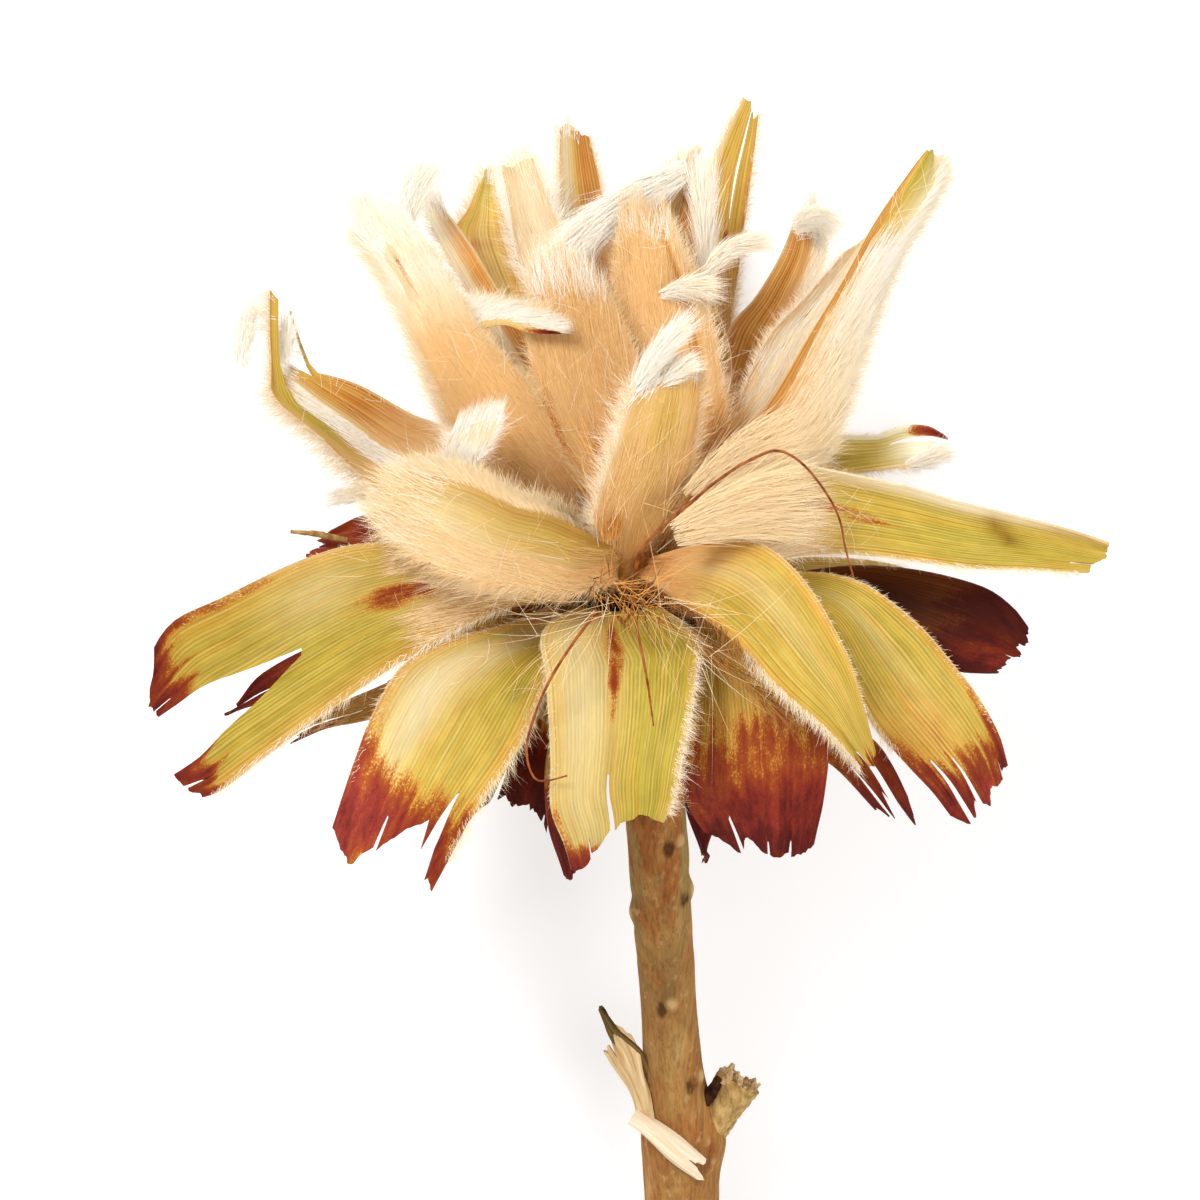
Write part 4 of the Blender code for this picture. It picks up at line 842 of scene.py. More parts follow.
               tuft(1100, (0.8, 1), (-1, 1), (2, 4), lean=(1, 0.1, 0.02), curl=0.08, stray=0.06)]),
    dict(node="bract_left_hooked", slot="woolly_bract", ring="high", clock=170, high=(9, 9),
         a=[(-12, 10), (-21, 18, -4), (-25.5, 20, -4), (-32, 23.5, -4), (-38, 25.5, -3)],
         b=[(-11.5, 5), (-22, 7, 3), (-30.5, 11.5, 3), (-37, 17.2, 3), (-41.6, 21, 3), (-45.3, 27, 2)],
         face=(0, 0.5, 0.7), end=(1.5, 0, -1, -2, -2, 0, 0.5), cup=0.3,
         splits=[(-0.72, 0.86, 1.0), (0.42, 0.86, 0.8)], green=0.2, peach=(0.5, 0.8), jag=0.4, fray=0,
         hooks=[(0.42, 1, (2.5, 7.5, 1), 0.86), (-1, -0.72, (-0.4, 7.0, 1), 0.93)],
         paint=[("t", -0.6, 0.5, 0.45, 0.4, 1.0), ("r", -0.6, 0.38, 0.3, 0.12, 0.34),
                ("c", 0.0, 0.8, 0.2, 0.3, 0.8), ("g", 0.5, 0.75, 0.2, 0.2, 0.4),
                ("g", -0.9, 1.05, 0.3, 0.1, 0.9)],
         wool=[fringe(1, 2700, (0.2, 0.86), (1.5, 4), lean=(0.35, 1, 0.1)),
               fringe(1, 450, (0.86, 1), (0.8, 2.2)),
               fringe(-1, 300, (0.3, 0.9), (0.5, 1.0)),
               nap(1300, (0.35, 0.92), (-0.15, 0.3), (2, 4), (0.9, 1), (0.9, 0.3, 0.2)),
               nap(1500, (0.1, 0.65), (0.3, 1), (2.5, 4.5), (0.52, 0.66), toneEnd=(0.7, 0.88)),
               tuft(500, (0.95, 1), (-1, 1), (1.5, 4), lean=(0.6, 0.5, 0)), loose(60)]),
    dict(node="bract_left_broad", slot="woolly_bract", ring="crown", clock=148, high=(18, 17),
         a=[(-11, 7), (-17.5, 12.5), (-20.8, 20), (-24, 28), (-28, 36.5), (-31.5, 42)],
         b=[(-1.5, 12.5), (-6, 18), (-11, 23.5), (-17, 30), (-20.5, 36), (-25.5, 44.5)],
         end=(0, 1, -0.5, 0.5, 0), cup=-0.25, green=0.1, peach=(1.1, 1.2), jag=0.8, fray=3,
         splits=[(0.1, 0.9, 0.8)],
         paint=[("c", 0, 0.95, 2, 0.25, 0.8), ("p", -0.4, 0.89, 0.26, 0.09, -1.6),
                ("t", -0.4, 0.89, 0.3, 0.1, 1),
                ("r", -0.34, 0.87, 0.12, 0.07, 0.42), ("c", -0.9, 0.7, 0.25, 0.4, 0.5)],
         deep=0.05, dark=0.3,
         wool=[nap(5000, (0.03, 0.62), length=(3, 6.5), tone=(0.54, 0.57), toneEnd=(0.59, 0.62),
                   lean=(1, -0.08, 0.05)),
               nap(1600, (0.6, 0.8), (-0.2, 1), (3, 6.5), (0.64, 0.72), toneEnd=(0.88, 0.96)),
               nap(500, (0.6, 0.8), (-1, -0.62), (3, 6.5), (0.64, 0.72), toneEnd=(0.88, 0.96)),
               nap(320, (0.6, 0.72), (-0.62, -0.2), (2, 3.5), (0.64, 0.72), toneEnd=(0.8, 0.9)),
               nap(500, (0.8, 0.97), (-1, -0.74), tone=(0.8, 0.95)),
               nap(900, (0.82, 0.97), (-0.15, 1), tone=(0.78, 0.92)),
               fringe(-1, 3200, (0.2, 1), (1.2, 3.6)),
               fringe(1, 1000, (0.3, 0.9), (0.6, 1.8), (0.6, 0.85)),
               tuft(900, (0.9, 1), (-1, 1), (3, 7), lean=(1, -0.15, 0.1)), loose(120)]),
    dict(node="bract_left_strip", slot="woolly_bract", ring="crown", clock=172, high=(7, 8),
         a=[(-9.5, 18.6), (-12.5, 25.8), (-17.8, 34), (-22, 41.2), (-23.8, 45.4)],
         b=[(-7, 19), (-8.5, 24.5), (-11.6, 30.2), (-15, 35.6), (-18.2, 40.8), (-22, 45.8)],
         end=(0, 1, 0, -0.5), cup=0.24, green=-0.3, peach=(0, 0.1), jag=0.4, fray=2,
         paint=[("c", -0.75, 0.7, 0.5, 0.8, 0.6), ("t", 0.5, 0.5, 0.7, 0.6, 1.0),
                ("r", 0.3, 0.5, 0.2, 0.22, 0.25), ("c", 0, 1, 1, 0.12, 0.5)],
         shadeAndTone=1.45,
         wool=[fringe(-1, 450, (0.5, 1), (1, 2.2)), nap(700, (0.1, 0.6), (-0.2, 1), (2, 4), (0.25, 0.42)),
               tuft(300, (0.93, 1), (-1, 1), (2, 5), lean=(1, 0.2, 0))]),
    dict(node="bract_peach_left", slot="woolly_bract", ring="crown", clock=113, high=(16.5, 16),
         a=[(-3.5, 10), (-7.5, 16), (-10, 22), (-10.8, 29), (-10.2, 36)],
         b=[(4, 10), (3.5, 18.5), (2.2, 25), (-0.5, 31.5), (-3.2, 36)],
         end=(-0.5, 0, 0.6, 0, -0.5), cup=-0.2, green=0, peach=(1.1, 1.2), jag=0.6, fray=2,
         paint=[("r", -0.9, 0.5, 0.35, 0.3, 0.3)],
         deep=0.05, dark=0.3,
         wool=[nap(5500, (0.03, 1), length=(3, 6.5), tone=(0.55, 0.58), toneEnd=(0.57, 0.62)),
               fringe(-1, 900, (0.2, 1), (0.8, 2.4), (0.5, 0.85)),
               fringe(1, 900, (0.2, 1), (0.8, 2.4), (0.5, 0.85)),
               tuft(900, (0.88, 1), (-1, 1), (2.5, 6), (0.85, 1)), loose(100)]),
    dict(node="bract_peach_right", slot="woolly_bract", ring="crown", clock=80, high=(12, 10),
         a=[(1, 16), (-0.5, 24.5), (-1, 32), (0.5, 43)], b=[(12, 16), (12, 24.5), (10, 33), (5.5, 43)],
         end=(-0.5, 0, 0.6, 0, -0.5), cup=-0.16, green=0, peach=(1.1, 1.2), jag=0.6, fray=2,
         deep=0.1, dark=0.4,
         paint=[("t", 0.55, 0.75, 0.16, 0.6, 1.0), ("p", 0.55, 0.75, 0.14, 0.6, -1.3),
                ("r", 0.6, 0.7, 0.06, 0.3, 0.34)],
         wool=[nap(3800, (0.03, 1), (-1, 0.42), (3, 6.5), (0.53, 0.56), toneEnd=(0.6, 0.64)),
               nap(1200, (0.03, 1), (0.7, 1), (3, 6), (0.46, 0.52), toneEnd=(0.6, 0.8)),
               fringe(-1, 700, (0.2, 1), (0.8, 2), (0.5, 0.85)),
               fringe(1, 900, (0.2, 1), (1, 2.5), (0.6, 0.95)),
               tuft(300, (0.94, 1), (-1, 1), (2, 4), (0.7, 1)), loose(80)]),
    dict(node="bract_upper_right", slot="woolly_bract", ring="crown", clock=46, high=(14, 11),
         a=[(8, 11.5), (14.5, 18), (18, 22.5), (22.5, 30), (26.5, 36.5), (30, 43), (34.5, 49.5), (36.5, 52)],
         b=[(16, 8), (22.5, 13), (25.5, 19), (28.5, 28.5), (31.5, 36.5), (34.5, 42), (38, 48), (37.5, 51.5)],
         end=(-0.5, 0, 0, 0, -0.5), cup=-0.22, green=0.3, peach=(0.72, 0.78), jag=0.3, fray=1,
         paint=[("t", -0.85, 0.5, 0.22, 0.6, 1.0), ("p", -0.86, 0.5, 0.2, 0.6, -1.4),
                ("g", -0.3, 0.95, 1.0, 0.14, 0.5), ("t", -0.2, 0.84, 1.0, 0.06, 0.3),
                ("r", -0.9, 0.6, 0.06, 0.35, 0.36), ("c", 0.6, 0.55, 0.6, 0.6, 0.8),
                ("c", 0.95, 0.9, 0.14, 0.3, 0.8)],
         deep=0.0, dark=0.4,
         wool=[nap(1000, (0.03, 0.7), (-0.7, -0.4), (3, 6.5), (0.56, 0.64), (1, 0.1, 0.04),
                   toneEnd=(0.8, 0.9)),
               nap(5400, (0.04, 0.72), (-0.45, 1), (3, 6.5), (0.66, 0.74), (1, 0.12, 0.05),
                   toneEnd=(0.92, 0.99)),
               nap(900, (0.66, 0.95), (0.55, 1), (2, 4), (0.84, 1), (1, 0.25, 0.12)),
               fringe(1, 3400, (0.12, 1), (1, 3)), loose(120)]),
    dict(node="bract_upper_right_back", slot="olive_bract", ring="crown", clock=17, high=(8, 7),
         a=[(12.5, 18.5), (17, 29), (21.5, 34), (27, 40)],
         b=[(17, 17.5), (24, 29), (28.5, 36.5), (31.2, 42.5)],
         end=(-1, 0, 0, -0.5), cup=0.2, green=0.3, peach=(1.1, 1.2), jag=0.4, fray=1, shadeAndTone=1.15,
         paint=[("c", 0, 0.7, 0.9, 0.5, 0.9), ("r", -0.3, 0.72, 0.08, 0.05, 0.45),
                ("t", -0.9, 0.6, 0.15, 0.4, 1.0),
                ("p", -0.9, 0.6, 0.15, 0.4, -1.0)],
         wool=[nap(1400, (0.2, 0.95), length=(2, 4), tone=(0.88, 0.96), toneEnd=(0.95, 1)),
               fringe(-1, 700, (0.4, 1), (0.6, 1.6))]),
    dict(node="bract_orange_fold", slot="olive_bract", ring="crown", clock=348, high=(-2.5, -3.5),
         a=[(9.5, 17.5), (11.5, 26), (13, 31), (16, 34.5), (19, 39.5), (21, 44.5)],
         b=[(14, 17.5), (17, 22), (20, 27.5), (22.5, 35), (24, 40), (23, 44.5)],
         end=(0, 0.4, 0.5, 0.2, 0), cup=0.26, green=0, peach=(1.1, 1.2), jag=0.3, fray=1,
         splits=[(0.1, 0.97, 0.2)],
         paint=[("t", -0.4, 0.6, 0.8, 0.9, 1.0), ("p", -0.4, 0.6, 0.65, 0.9, -1.3),
                ("c", 0.85, 0.7, 0.3, 0.5, 0.6)],
         wool=[nap(1500, (0.2, 1), (0.45, 1), (2.5, 5), (0.66, 0.76), toneEnd=(0.88, 0.96)),
               fringe(1, 1100, (0.3, 1), (0.8, 2.2)),
               tuft(300, (0.9, 1), (-0.6, 1), (1.5, 5), lean=(0.9, 0.2, 0.1), stray=0.45)]),
    dict(node="bract_top_pair", slot="olive_bract", ring="crown", clock=320, high=(-9.5, -12),
         a=[(8, 21), (9, 32), (9.5, 40.5), (10.5, 49.5), (12, 53.5), (14.5, 58.5)],
         b=[(13.5, 21), (13, 30), (14, 37.5), (14.5, 42), (15.5, 48.5), (16.5, 57)],
         splits=[(0.25, 0.72, 0.5)], end=(0, 0, 0.4, -1.5, -0.3), cup=0.16, green=0.15, peach=(0.4, 0.6),
         jag=0.2, fray=0, paint=[("r", 0.2, 0.66, 0.12, 0.04, 0.45), ("r", 0.1, 0.6, 0.6, 0.1, 0.3),
                                 ("c", -0.9, 0.8, 0.15, 0.3, 0.7)],
         wool=[fringe(-1, 1000, (0.4, 1), (0.6, 1.8)), fringe(1, 900, (0.4, 1), (0.6, 1.8)),
               nap(1600, (0.2, 0.6), length=(2.5, 5), tone=(0.48, 0.66))]),
    dict(node="bract_bearded", slot="woolly_bract", ring="heart", clock=35, high=(4, 2),
         a=[(1, 24.5), (1, 34), (2, 41.5), (5, 47), (7.5, 50)],
         b=[(13, 24.5), (11, 34), (9, 40), (8.5, 46), (9, 50.5)],
         end=(-0.5, 0, 0, -0.3), cup=0.2, green=0, peach=(1.1, 1.2), jag=0.3, fray=1,
         paint=[("t", 0.6, 0.75, 0.45, 0.5, 1.0), ("p", 0.6, 0.78, 0.4, 0.5, -1.3),
                ("r", 0.6, 0.75, 0.2, 0.3, 0.3)],
         wool=[nap(2200, (0.3, 1), (-1, 0.3), (2.5, 5), (0.5, 0.62), toneEnd=(0.6, 0.8)),
               tuft(300, (0.9, 1), (-1, 1), (2.5, 5), lean=(1, -0.2, 0.1)),
               fringe(-1, 1200, (0.4, 1), (2, 4))]),
    dict(node="bract_top_brown", slot="olive_bract", ring="heart", clock=270, high=(-7, -10),
         a=[(-5, 29.5), (-6.5, 39), (-7.5, 47.5), (-7.5, 55)], b=[(1.5, 29.5), (0, 38), (-2, 46), (-4, 54.5)],
         end=(0.3, 0.5, 0, -0.5), cup=0.24, green=0.1, peach=(0.55, 0.8), jag=0.3, fray=1,
         paint=[("c", -0.65, 0.75, 0.35, 0.5, 0.85), ("t", 0.45, 0.8, 0.4, 0.5, 1.0),
                ("r", 0.2, 0.85, 0.05, 0.2, 0.34)],
         wool=[fringe(-1, 900, (0.5, 1), (0.8, 2)), fringe(1, 700, (0.5, 1), (0.6, 1.6)),
               tuft(120, (0.95, 1), (-1, 0.3), (1.5, 3))]),
    dict(node="bract_top_cream", slot="woolly_bract", ring="heart", clock=160, high=(5, 2),
         a=[(-9, 29.5), (-12.5, 39), (-13.5, 45), (-14.5, 50)],
         b=[(-3, 29.5), (-5.5, 38), (-8, 44.5), (-10.5, 51)],
         end=(0, -0.4, 0.4, 0), cup=0.24, green=0, peach=(0.9, 1.2), jag=0.3, fray=1,
         paint=[("c", 0, 0.75, 1, 0.45, 0.9), ("t", -0.3, 0.99, 0.4, 0.03, 1), ("p", -0.3, 1, 0.4, 0.05, -1),
                ("r", -0.2, 0.85, 0.05, 0.12, 0.32)],
         wool=[nap(1800, (0.35, 1), length=(2.5, 4.5), tone=(0.74, 0.92)),
               fringe(-1, 1300, (0.4, 1), (1, 2.6), (0.85, 1)),
               fringe(1, 1400, (0.4, 1), (1, 3), (0.85, 1))]),
    dict(node="bract_golden", slot="olive_bract", ring="crown", clock=197, high=(-2, -5),
         a=[(-11, 22), (-14.6, 30.6), (-18.4, 36.6), (-20.4, 42), (-18.6, 45), (-16.4, 50.2)],
         b=[(-7.5, 22), (-9.2, 29.4), (-11, 35.4), (-13.2, 42), (-15, 46.8), (-15.4, 50.2)],
         end=(-0.4, 0, 0, -0.4), cup=0.3, green=0.0, peach=(0.25, 0.4), jag=0.3, fray=1,
         paint=[("g", 0, 0.95, 1, 0.08, 0.3), ("t", -0.3, 0.77, 0.5, 0.012, 0.8),
                ("t", 0.9, 0.4, 0.3, 0.3, 0.5), ("c", -0.1, 0.55, 0.5, 0.3, 0.2)],
         shadeAndTone=1.4, wool=[fringe(-1, 1200, (0.4, 1), (0.8, 2.2)), fringe(1, 600, (0.5, 1), (0.6, 1.6)),
                          tuft(120, (0.95, 1), (-1, 1), (1, 2.5))]),
    dict(node="bract_curled_sliver", slot="woolly_bract", ring="heart", clock=110, high=(13.7, 20.5),
         a=[(-11.5, 17.5), (-18, 26), (-21, 31.5), (-17, 33.5), (-11, 32.5), (-7.5, 30.5)],
         b=[(-9, 16), (-15.5, 24), (-18.5, 29), (-14.5, 31), (-11, 30), (-7.5, 30)], footWide=3,
         end=(0, 0, 0), cup=0.2, green=0.4, peach=(0.2, 0.4), jag=0.1, fray=0, cells=(10, 40),
         paint=[("c", -0.6, 0.85, 1.1, 0.3, 1.0), ("r", 0.8, 1.0, 0.6, 0.08, 0.9),
                ("r", 0.9, 0.8, 0.2, 0.2, 0.25)],
         wool=[nap(1300, (0.68, 0.98), (-1, 0.5), (2, 3.5), (0.88, 1), (0.95, -0.3, 0.15)),
               fringe(-1, 900, (0.66, 1), (1, 2.4))]),
]
print("bracts listed")

# the side it lies on: ring, clock, middle, end, widths, slot, and whether its end rests
underRows = [
    ("foot", 198, (-20, -9, -8), (-31, -15, -12), (4.5, 8, 9, 6), "red_bract", False),
    ("foot", 238, (-13, -8, -21), (-19, -15, -31), (4.5, 9, 10, 7), "red_bract", False),
    ("foot", 282, (8, -7, -22), (13, -14, -34), (4.5, 9, 10, 7), "red_bract", False),
    ("foot", 325, (20, -9, -10), (31, -15, -16), (4.5, 9, 9, 6), "red_bract", False),
    ("low", 207, (-26, -1, -9), (-41, -5, -15), (4.5, 9, 9, 6), "red_bract", False),
    ("low", 250, (-12, 2, -25), (-19, 5, -39), (4.5, 10, 10, 7), "olive_bract", True),
    ("low", 300, (14, 1, -25), (23, 3, -39), (4.5, 10, 10, 7), "olive_bract", True),
    ("low", 340, (28, 1, -7), (43, -3, -12), (4.5, 9, 9, 6), "red_bract", False),
    ("middle", 226, (-20, 9, -17), (-32, 15, -28), (4.5, 9, 9, 6), "olive_bract", False),
    ("middle", 272, (1, 10, -26), (2, 19, -39), (4.5, 10, 10, 7), "olive_bract", True),
    ("middle", 318, (19, 9, -18), (29, 12, -29), (4.5, 9, 9, 6), "olive_bract", False),
    ("high", 207, (-21, 14, -9), (-32.5, 20, -13), (4.5, 8, 8, 5), "woolly_bract", False),
    ("high", 243, (-13, 20, -23), (-19, 33, -39), (4.5, 9, 9, 6), "woolly_bract", True),
    ("high", 285, (7, 22, -24), (11, 36, -39), (4.5, 9, 9, 6), "woolly_bract", True),
    ("high", 322, (18, 19, -12), (26, 31, -19), (4.5, 8, 8, 5), "woolly_bract", False),
    ("crown", 292, (5, 31, -16), (8, 51, -24), (4, 7, 7, 4), "woolly_bract", False),
    ("crown", 256, (-4, 31, -18), (-5.5, 50, -27), (4, 7, 7, 4), "woolly_bract", False),
    ("crown", 225, (-11, 26, -10), (-16, 42, -16), (4, 7, 7, 4), "woolly_bract", False),
]
underLooks = {
    "red_bract": dict(green=0.6, peach=(0.1, 0.3), tipRed=(0.6, 0.3), redness=0.85, shadeAndTone=0.9,
                      wool=[fringe(1, 200, (0.3, 0.9)), fringe(-1, 200, (0.3, 0.9))]),
    "olive_bract": dict(green=0.5, peach=(0.2, 0.4), tipRed=(0.82, 0.16), redness=0.75,
                        wool=[fringe(1, 300, (0.2, 0.95)), fringe(-1, 300, (0.2, 0.95))]),
    "woolly_bract": dict(green=0.2, peach=(1.1, 1.2), tipRed=(1.2, 0.1),
                         wool=[nap(900, (0.05, 1), tone=(0.48, 0.56), toneEnd=(0.6, 0.75)),
                               nap(700, (0.05, 1), tone=(0.6, 0.85), side=-1),
                               fringe(1, 450, (0.2, 1), (1, 2.4)), fringe(-1, 450, (0.2, 1), (1, 2.4)),
                               tuft(200, (0.93, 1), (-1, 1), (2, 4.5))]),
}
for number, (ring, clock, mid, tip, wide, slot, rests) in enumerate(underRows, 1):
    bracts.append(dict(node="bract_under_%d" % number, slot=slot, ring=ring, clock=clock, mid=mid,
                       tip=tip, wide=wide, rest=rests, end=(-2, 0, -1, 0, -2), cup=0.1, jag=0.9,
                       fray=4, cells=(16, 28), **underLooks[slot]))

woolCount = 0
for number, row in enumerate(bracts):
    rng = np.random.default_rng(flower["seed"] * 100 + number)
    row["name"] = row["node"].replace("bract_", "sheet_")
    grid = bractGrid(row, rng)
    makeSheet(row, grid, rng)
    grown = growWool(row, grid, rng)
    woolCount += len(grown.data.polygons) if grown else 0
print("bracts made:", len(bracts), "wool faces:", woolCount)


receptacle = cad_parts["receptacle"]
receptacle.data.materials.clear()
receptacle.data.materials.append(darkWood)


def growBristles(count, heights, clocks, length, tone, stray, lean, curl=0.5, lift=0.3, width=0.09,
                 segments=4, rng=None):
    height = rng.uniform(*heights, count)
    clock = np.radians(rng.uniform(*clocks, count))
    radius = flower["receptacleRadius"] * (1 - np.abs(height / flower["receptacleHalf"]) ** 3) ** (1 / 3)
    out = side * np.cos(clock)[:, None] + front * np.sin(clock)[:, None]
    root = axis * height[:, None] + out * (radius[:, None] + lift)
    hair = unit(out + axis * lean + rng.normal(0, stray, (count, 3)))
    beside = unit(np.cross(hair, rng.normal(0, 1, (count, 3))))
    return strands(root, hair, beside, rng.uniform(*length, count), np.full(count, width)
                   * rng.uniform(0.7, 1.3, count), np.clip(rng.uniform(*tone, count), 0.01, 0.99),
                   segments, rng.normal(0, curl, (count, 3)), np.cross(beside, hair))


rng = np.random.default_rng(flower["seed"])
bristles = [
    growBristles(130, (-3, 6.5), (40, 140), (1.5, 4), (0.03, 0.35), 0.5, -0.3, width=0.13, rng=rng),
    growBristles(45, (-2, 4), (55, 125), (3, 6), (0.2, 0.42), 0.5, -0.5, 0.6, width=0.1, rng=rng),
    growBristles(220, (4, 9), (40, 80), (6, 14), (0.25, 0.5), 0.35, 1.2, 0.3, width=0.06, rng=rng),
    growBristles(160, (4, 9), (95, 120), (6, 14), (0.25, 0.5), 0.35, 1.2, 0.3, width=0.06, rng=rng),
    growBristles(900, (-7, 9), (0, 360), (2, 6), (0.1, 0.4), 0.5, 0.2, rng=rng),
]
woolMesh("receptacle_bristles", bristles)


def brush(path, halfWidths, count, length, tone, flare=0.2, start=(0, 0.7), width=0.055, segments=3,
          thick=0.5, wild=0.08):
    # hairs that follow a line, from roots along its first part
    line = smoothLine(path, 80, 1.3)
    run = np.linalg.norm(np.diff(line[:80], axis=0), axis=1).sum()
    flow = unit(np.gradient(line, axis=0))
    place = rng.uniform(*start, count)
    lengths = rng.uniform(*length, count)
    at = (place * 79).astype(int)
    later = np.minimum(((place + lengths / run) * 79).astype(int), len(line) - 1)
    way = flow[at]
    beside = unit(np.cross(way, (0, 0, 1)))
    above = np.cross(beside, way)
    half = np.interp(place, np.linspace(0, 1, len(halfWidths)), halfWidths)[:, None]
    first, second = rng.uniform(-1, 1, (2, count, 1))
    root = line[at] + beside * half * first + above * half * thick * second
    hair = unit(way + flare * (beside * first + above * second * thick)
                + rng.normal(0, wild + flare * 0.4, (count, 3)))
    flat = unit(np.cross(hair, rng.normal((0, 0, 1), 0.3, (count, 3))))
    facing = unit(above + beside * first * 0.5 + np.array([0, 0, 0.5]) + rng.normal(0, 0.08, (count, 3)))
    return strands(root, hair, flat, lengths, np.full(count, width) * rng.uniform(0.7, 1.3, count),
                   np.clip(rng.uniform(*tone, count), 0.01, 0.99), segments,
                   flow[later] - way + rng.normal(0, 0.12 + flare * 0.2, (count, 3)), facing)


# free tufts: the line they follow, half widths, number of hairs, their length and tone
tufts = {
    "beard": [([(8, 50, 4), (2, 46.5, 7), (-4, 42.5, 8), (-8.4, 38, 8)], (1.2, 1.9, 1.8, 0.6), 2800,
               (4, 8), (0.9, 1), dict(flare=0.1, start=(0, 0.8)))],
    "tall_tuft": [([(9.8, 34, 6), (10, 42, 6), (9.5, 50, 5)], (0.5, 0.7, 1.6), 1400, (4, 8), (0.84, 1),
                   dict(flare=0.12, start=(0, 0.8)))],
    "curled_tuft": [([(9.2, 36.2, 8), (12, 39.6, 9), (15, 41, 9), (18, 40.6, 8)], (0.5, 0.9, 0.8, 0.2),
                     1000, (3, 6), (0.8, 1), dict(flare=0.08, start=(0, 0.7)))],
    "side_tuft": [([(4.5, 34.6, 12), (8, 35.6, 13), (13, 35, 12)], (0.5, 0.9, 0.7), 900, (2.5, 5), (0.8, 1),
                   dict(flare=0.2, start=(0, 0.55)))],
    "left_tip_tuft": [([(-26, 43, 15), (-24.8, 47, 15), (-22.6, 50, 14)], (1.1, 1.3, 0.6), 900, (3, 6),
                       (0.88, 1), dict(flare=0.15)),
                      ([(-29, 41, 15), (-30.5, 44, 15), (-31.8, 46.4, 14)], (1.0, 1.1, 0.6), 500, (2.5, 5),
                       (0.88, 1), dict(flare=0.2))],
    "fold_tuft": [([(20.5, 42.8, 0), (23, 44.3, 0), (26, 42.6, -1)], (0.9, 1.2, 0.6), 800, (2, 4.5),
                   (0.85, 1), dict(flare=0.2))],
    "hook_wool": [([(-45.8, 26, 10), (-45, 31, 10), (-43.4, 35, 10)], (0.8, 0.9, 0.5), 600, (2, 4), (0.88, 1),
                   dict(flare=0.25)),
                  ([(-40.5, 26, 9), (-40.3, 29, 9), (-39.4, 32.5, 9)], (0.7, 0.8, 0.4), 400, (2, 4),
                   (0.88, 1),
                   dict(flare=0.2)),
                  ([(-29, 11, 14), (-33.5, 10.6, 12), (-36, 10.2, 11)], (0.7, 0.8, 0.5), 400, (2, 3.5),
                   (0.85, 1), dict(flare=0.15))],
    "front_tuft": [([(1.4, 23, 31), (4.4, 27.6, 33), (8.4, 31.6, 33)], (0.7, 0.9, 0.3), 1200, (3, 6),
                    (0.9, 1), dict(flare=0.12)),
                   ([(4.5, 23.5, 31), (7.2, 25.8, 32), (9.7, 26.6, 32)], (0.6, 0.8, 0.5), 450, (1.5, 3),
                    (0.85, 1), dict(flare=0.25))],
    "right_wool": [([(34, 14.3, 5), (37, 15.3, 5), (39.8, 17, 5)], (0.6, 0.7, 0.4), 350, (2, 3.5), (0.86, 1),
                    dict(flare=0.2))],
    "left_fleece": [([(-13, 6, 27), (-20, 7.5, 26), (-29, 8.5, 20)], (1.8, 4, 4), 1200, (5, 9), (0.66, 0.82),
                     dict(flare=0.2, thick=0.25)),
                    ([(-10, -1, 23), (-17, 1.5, 24.5), (-25, 3, 23)], (1.2, 2.2, 2.2), 800, (4, 7),
                     (0.6, 0.85),
                     dict(flare=0.25, thick=0.25))],
    "right_fleece": [([(6, 6, 31), (14, 9, 29.5), (25, 10, 26)], (1.5, 4, 4), 1200, (5, 9), (0.7, 0.82),
                      dict(flare=0.12, thick=0.12)),
                     ([(8, 10, 27), (14, 15, 25), (22, 18, 21)], (1.5, 3, 3), 900, (5, 9), (0.7, 0.82),
                      dict(flare=0.12, thick=0.12))],
    "brown_crook": [([(-1.5, 5, 22), (-1.5, 12, 24), (-3, 19, 22)], (0.9, 1.8, 1.5), 450, (5, 10),
                     (0.25, 0.5),
                     dict(flare=0.25)),
                    ([(6, 8, 20), (9.5, 15, 21), (13, 22, 18)], (1.5, 2.5, 2), 600, (5, 11), (0.25, 0.5),
                     dict(flare=0.25))],
    "dark_tangle": [([(-3.5, 0.5, 27), (1, -1.5, 28), (6, -4, 28)], (1.2, 1.8, 1.4), 110, (2, 5), (0.04, 0.4),
                     dict(flare=1.6, start=(0, 1), thick=0.8, wild=0.6, width=0.12)),
                    ([(-3, 0, 28), (1, -1.5, 29), (5, -3, 29)], (1.2, 1.5, 1.2), 40, (5, 11), (0.25, 0.5),
                     dict(flare=1.5, start=(0, 1), wild=0.8, width=0.09)),
                    # dark hairs over the top of the front right bract: painted shade there
                    ([(7, -5, 27.5), (13, -10, 28.5), (20, -16, 29.2)], (0.5, 0.9, 0.5), 220, (3, 6),
                     (0.08, 0.34),
                     dict(flare=0.2, start=(0, 0.9)))],
    "straight_hairs": [([(2, -2, 29), (9, -6, 31), (17, -11, 31)], (2, 3, 3), 36, (8, 16), (0.62, 0.9),
                        dict(flare=0.6, wild=0.35, width=0.045)),
                       ([(-1, -2, 29), (-7, -6, 28), (-13, -10, 26.5)], (2, 3, 3), 30, (8, 16), (0.62, 0.9),
                        dict(flare=0.6, wild=0.35, width=0.045)),
                       ([(1, 4, 29), (2, 12, 30), (5, 20, 32)], (4, 6, 6), 26, (7, 14), (0.5, 0.9),
                        dict(flare=0.6, wild=0.35, width=0.045))],
}
for name, parts in tufts.items():
    grown = [brush(path, halves, count, length, tone, **more)
             for path, halves, count, length, tone, more in parts]
    woolMesh(name, grown)
print("tufts and bristles made")


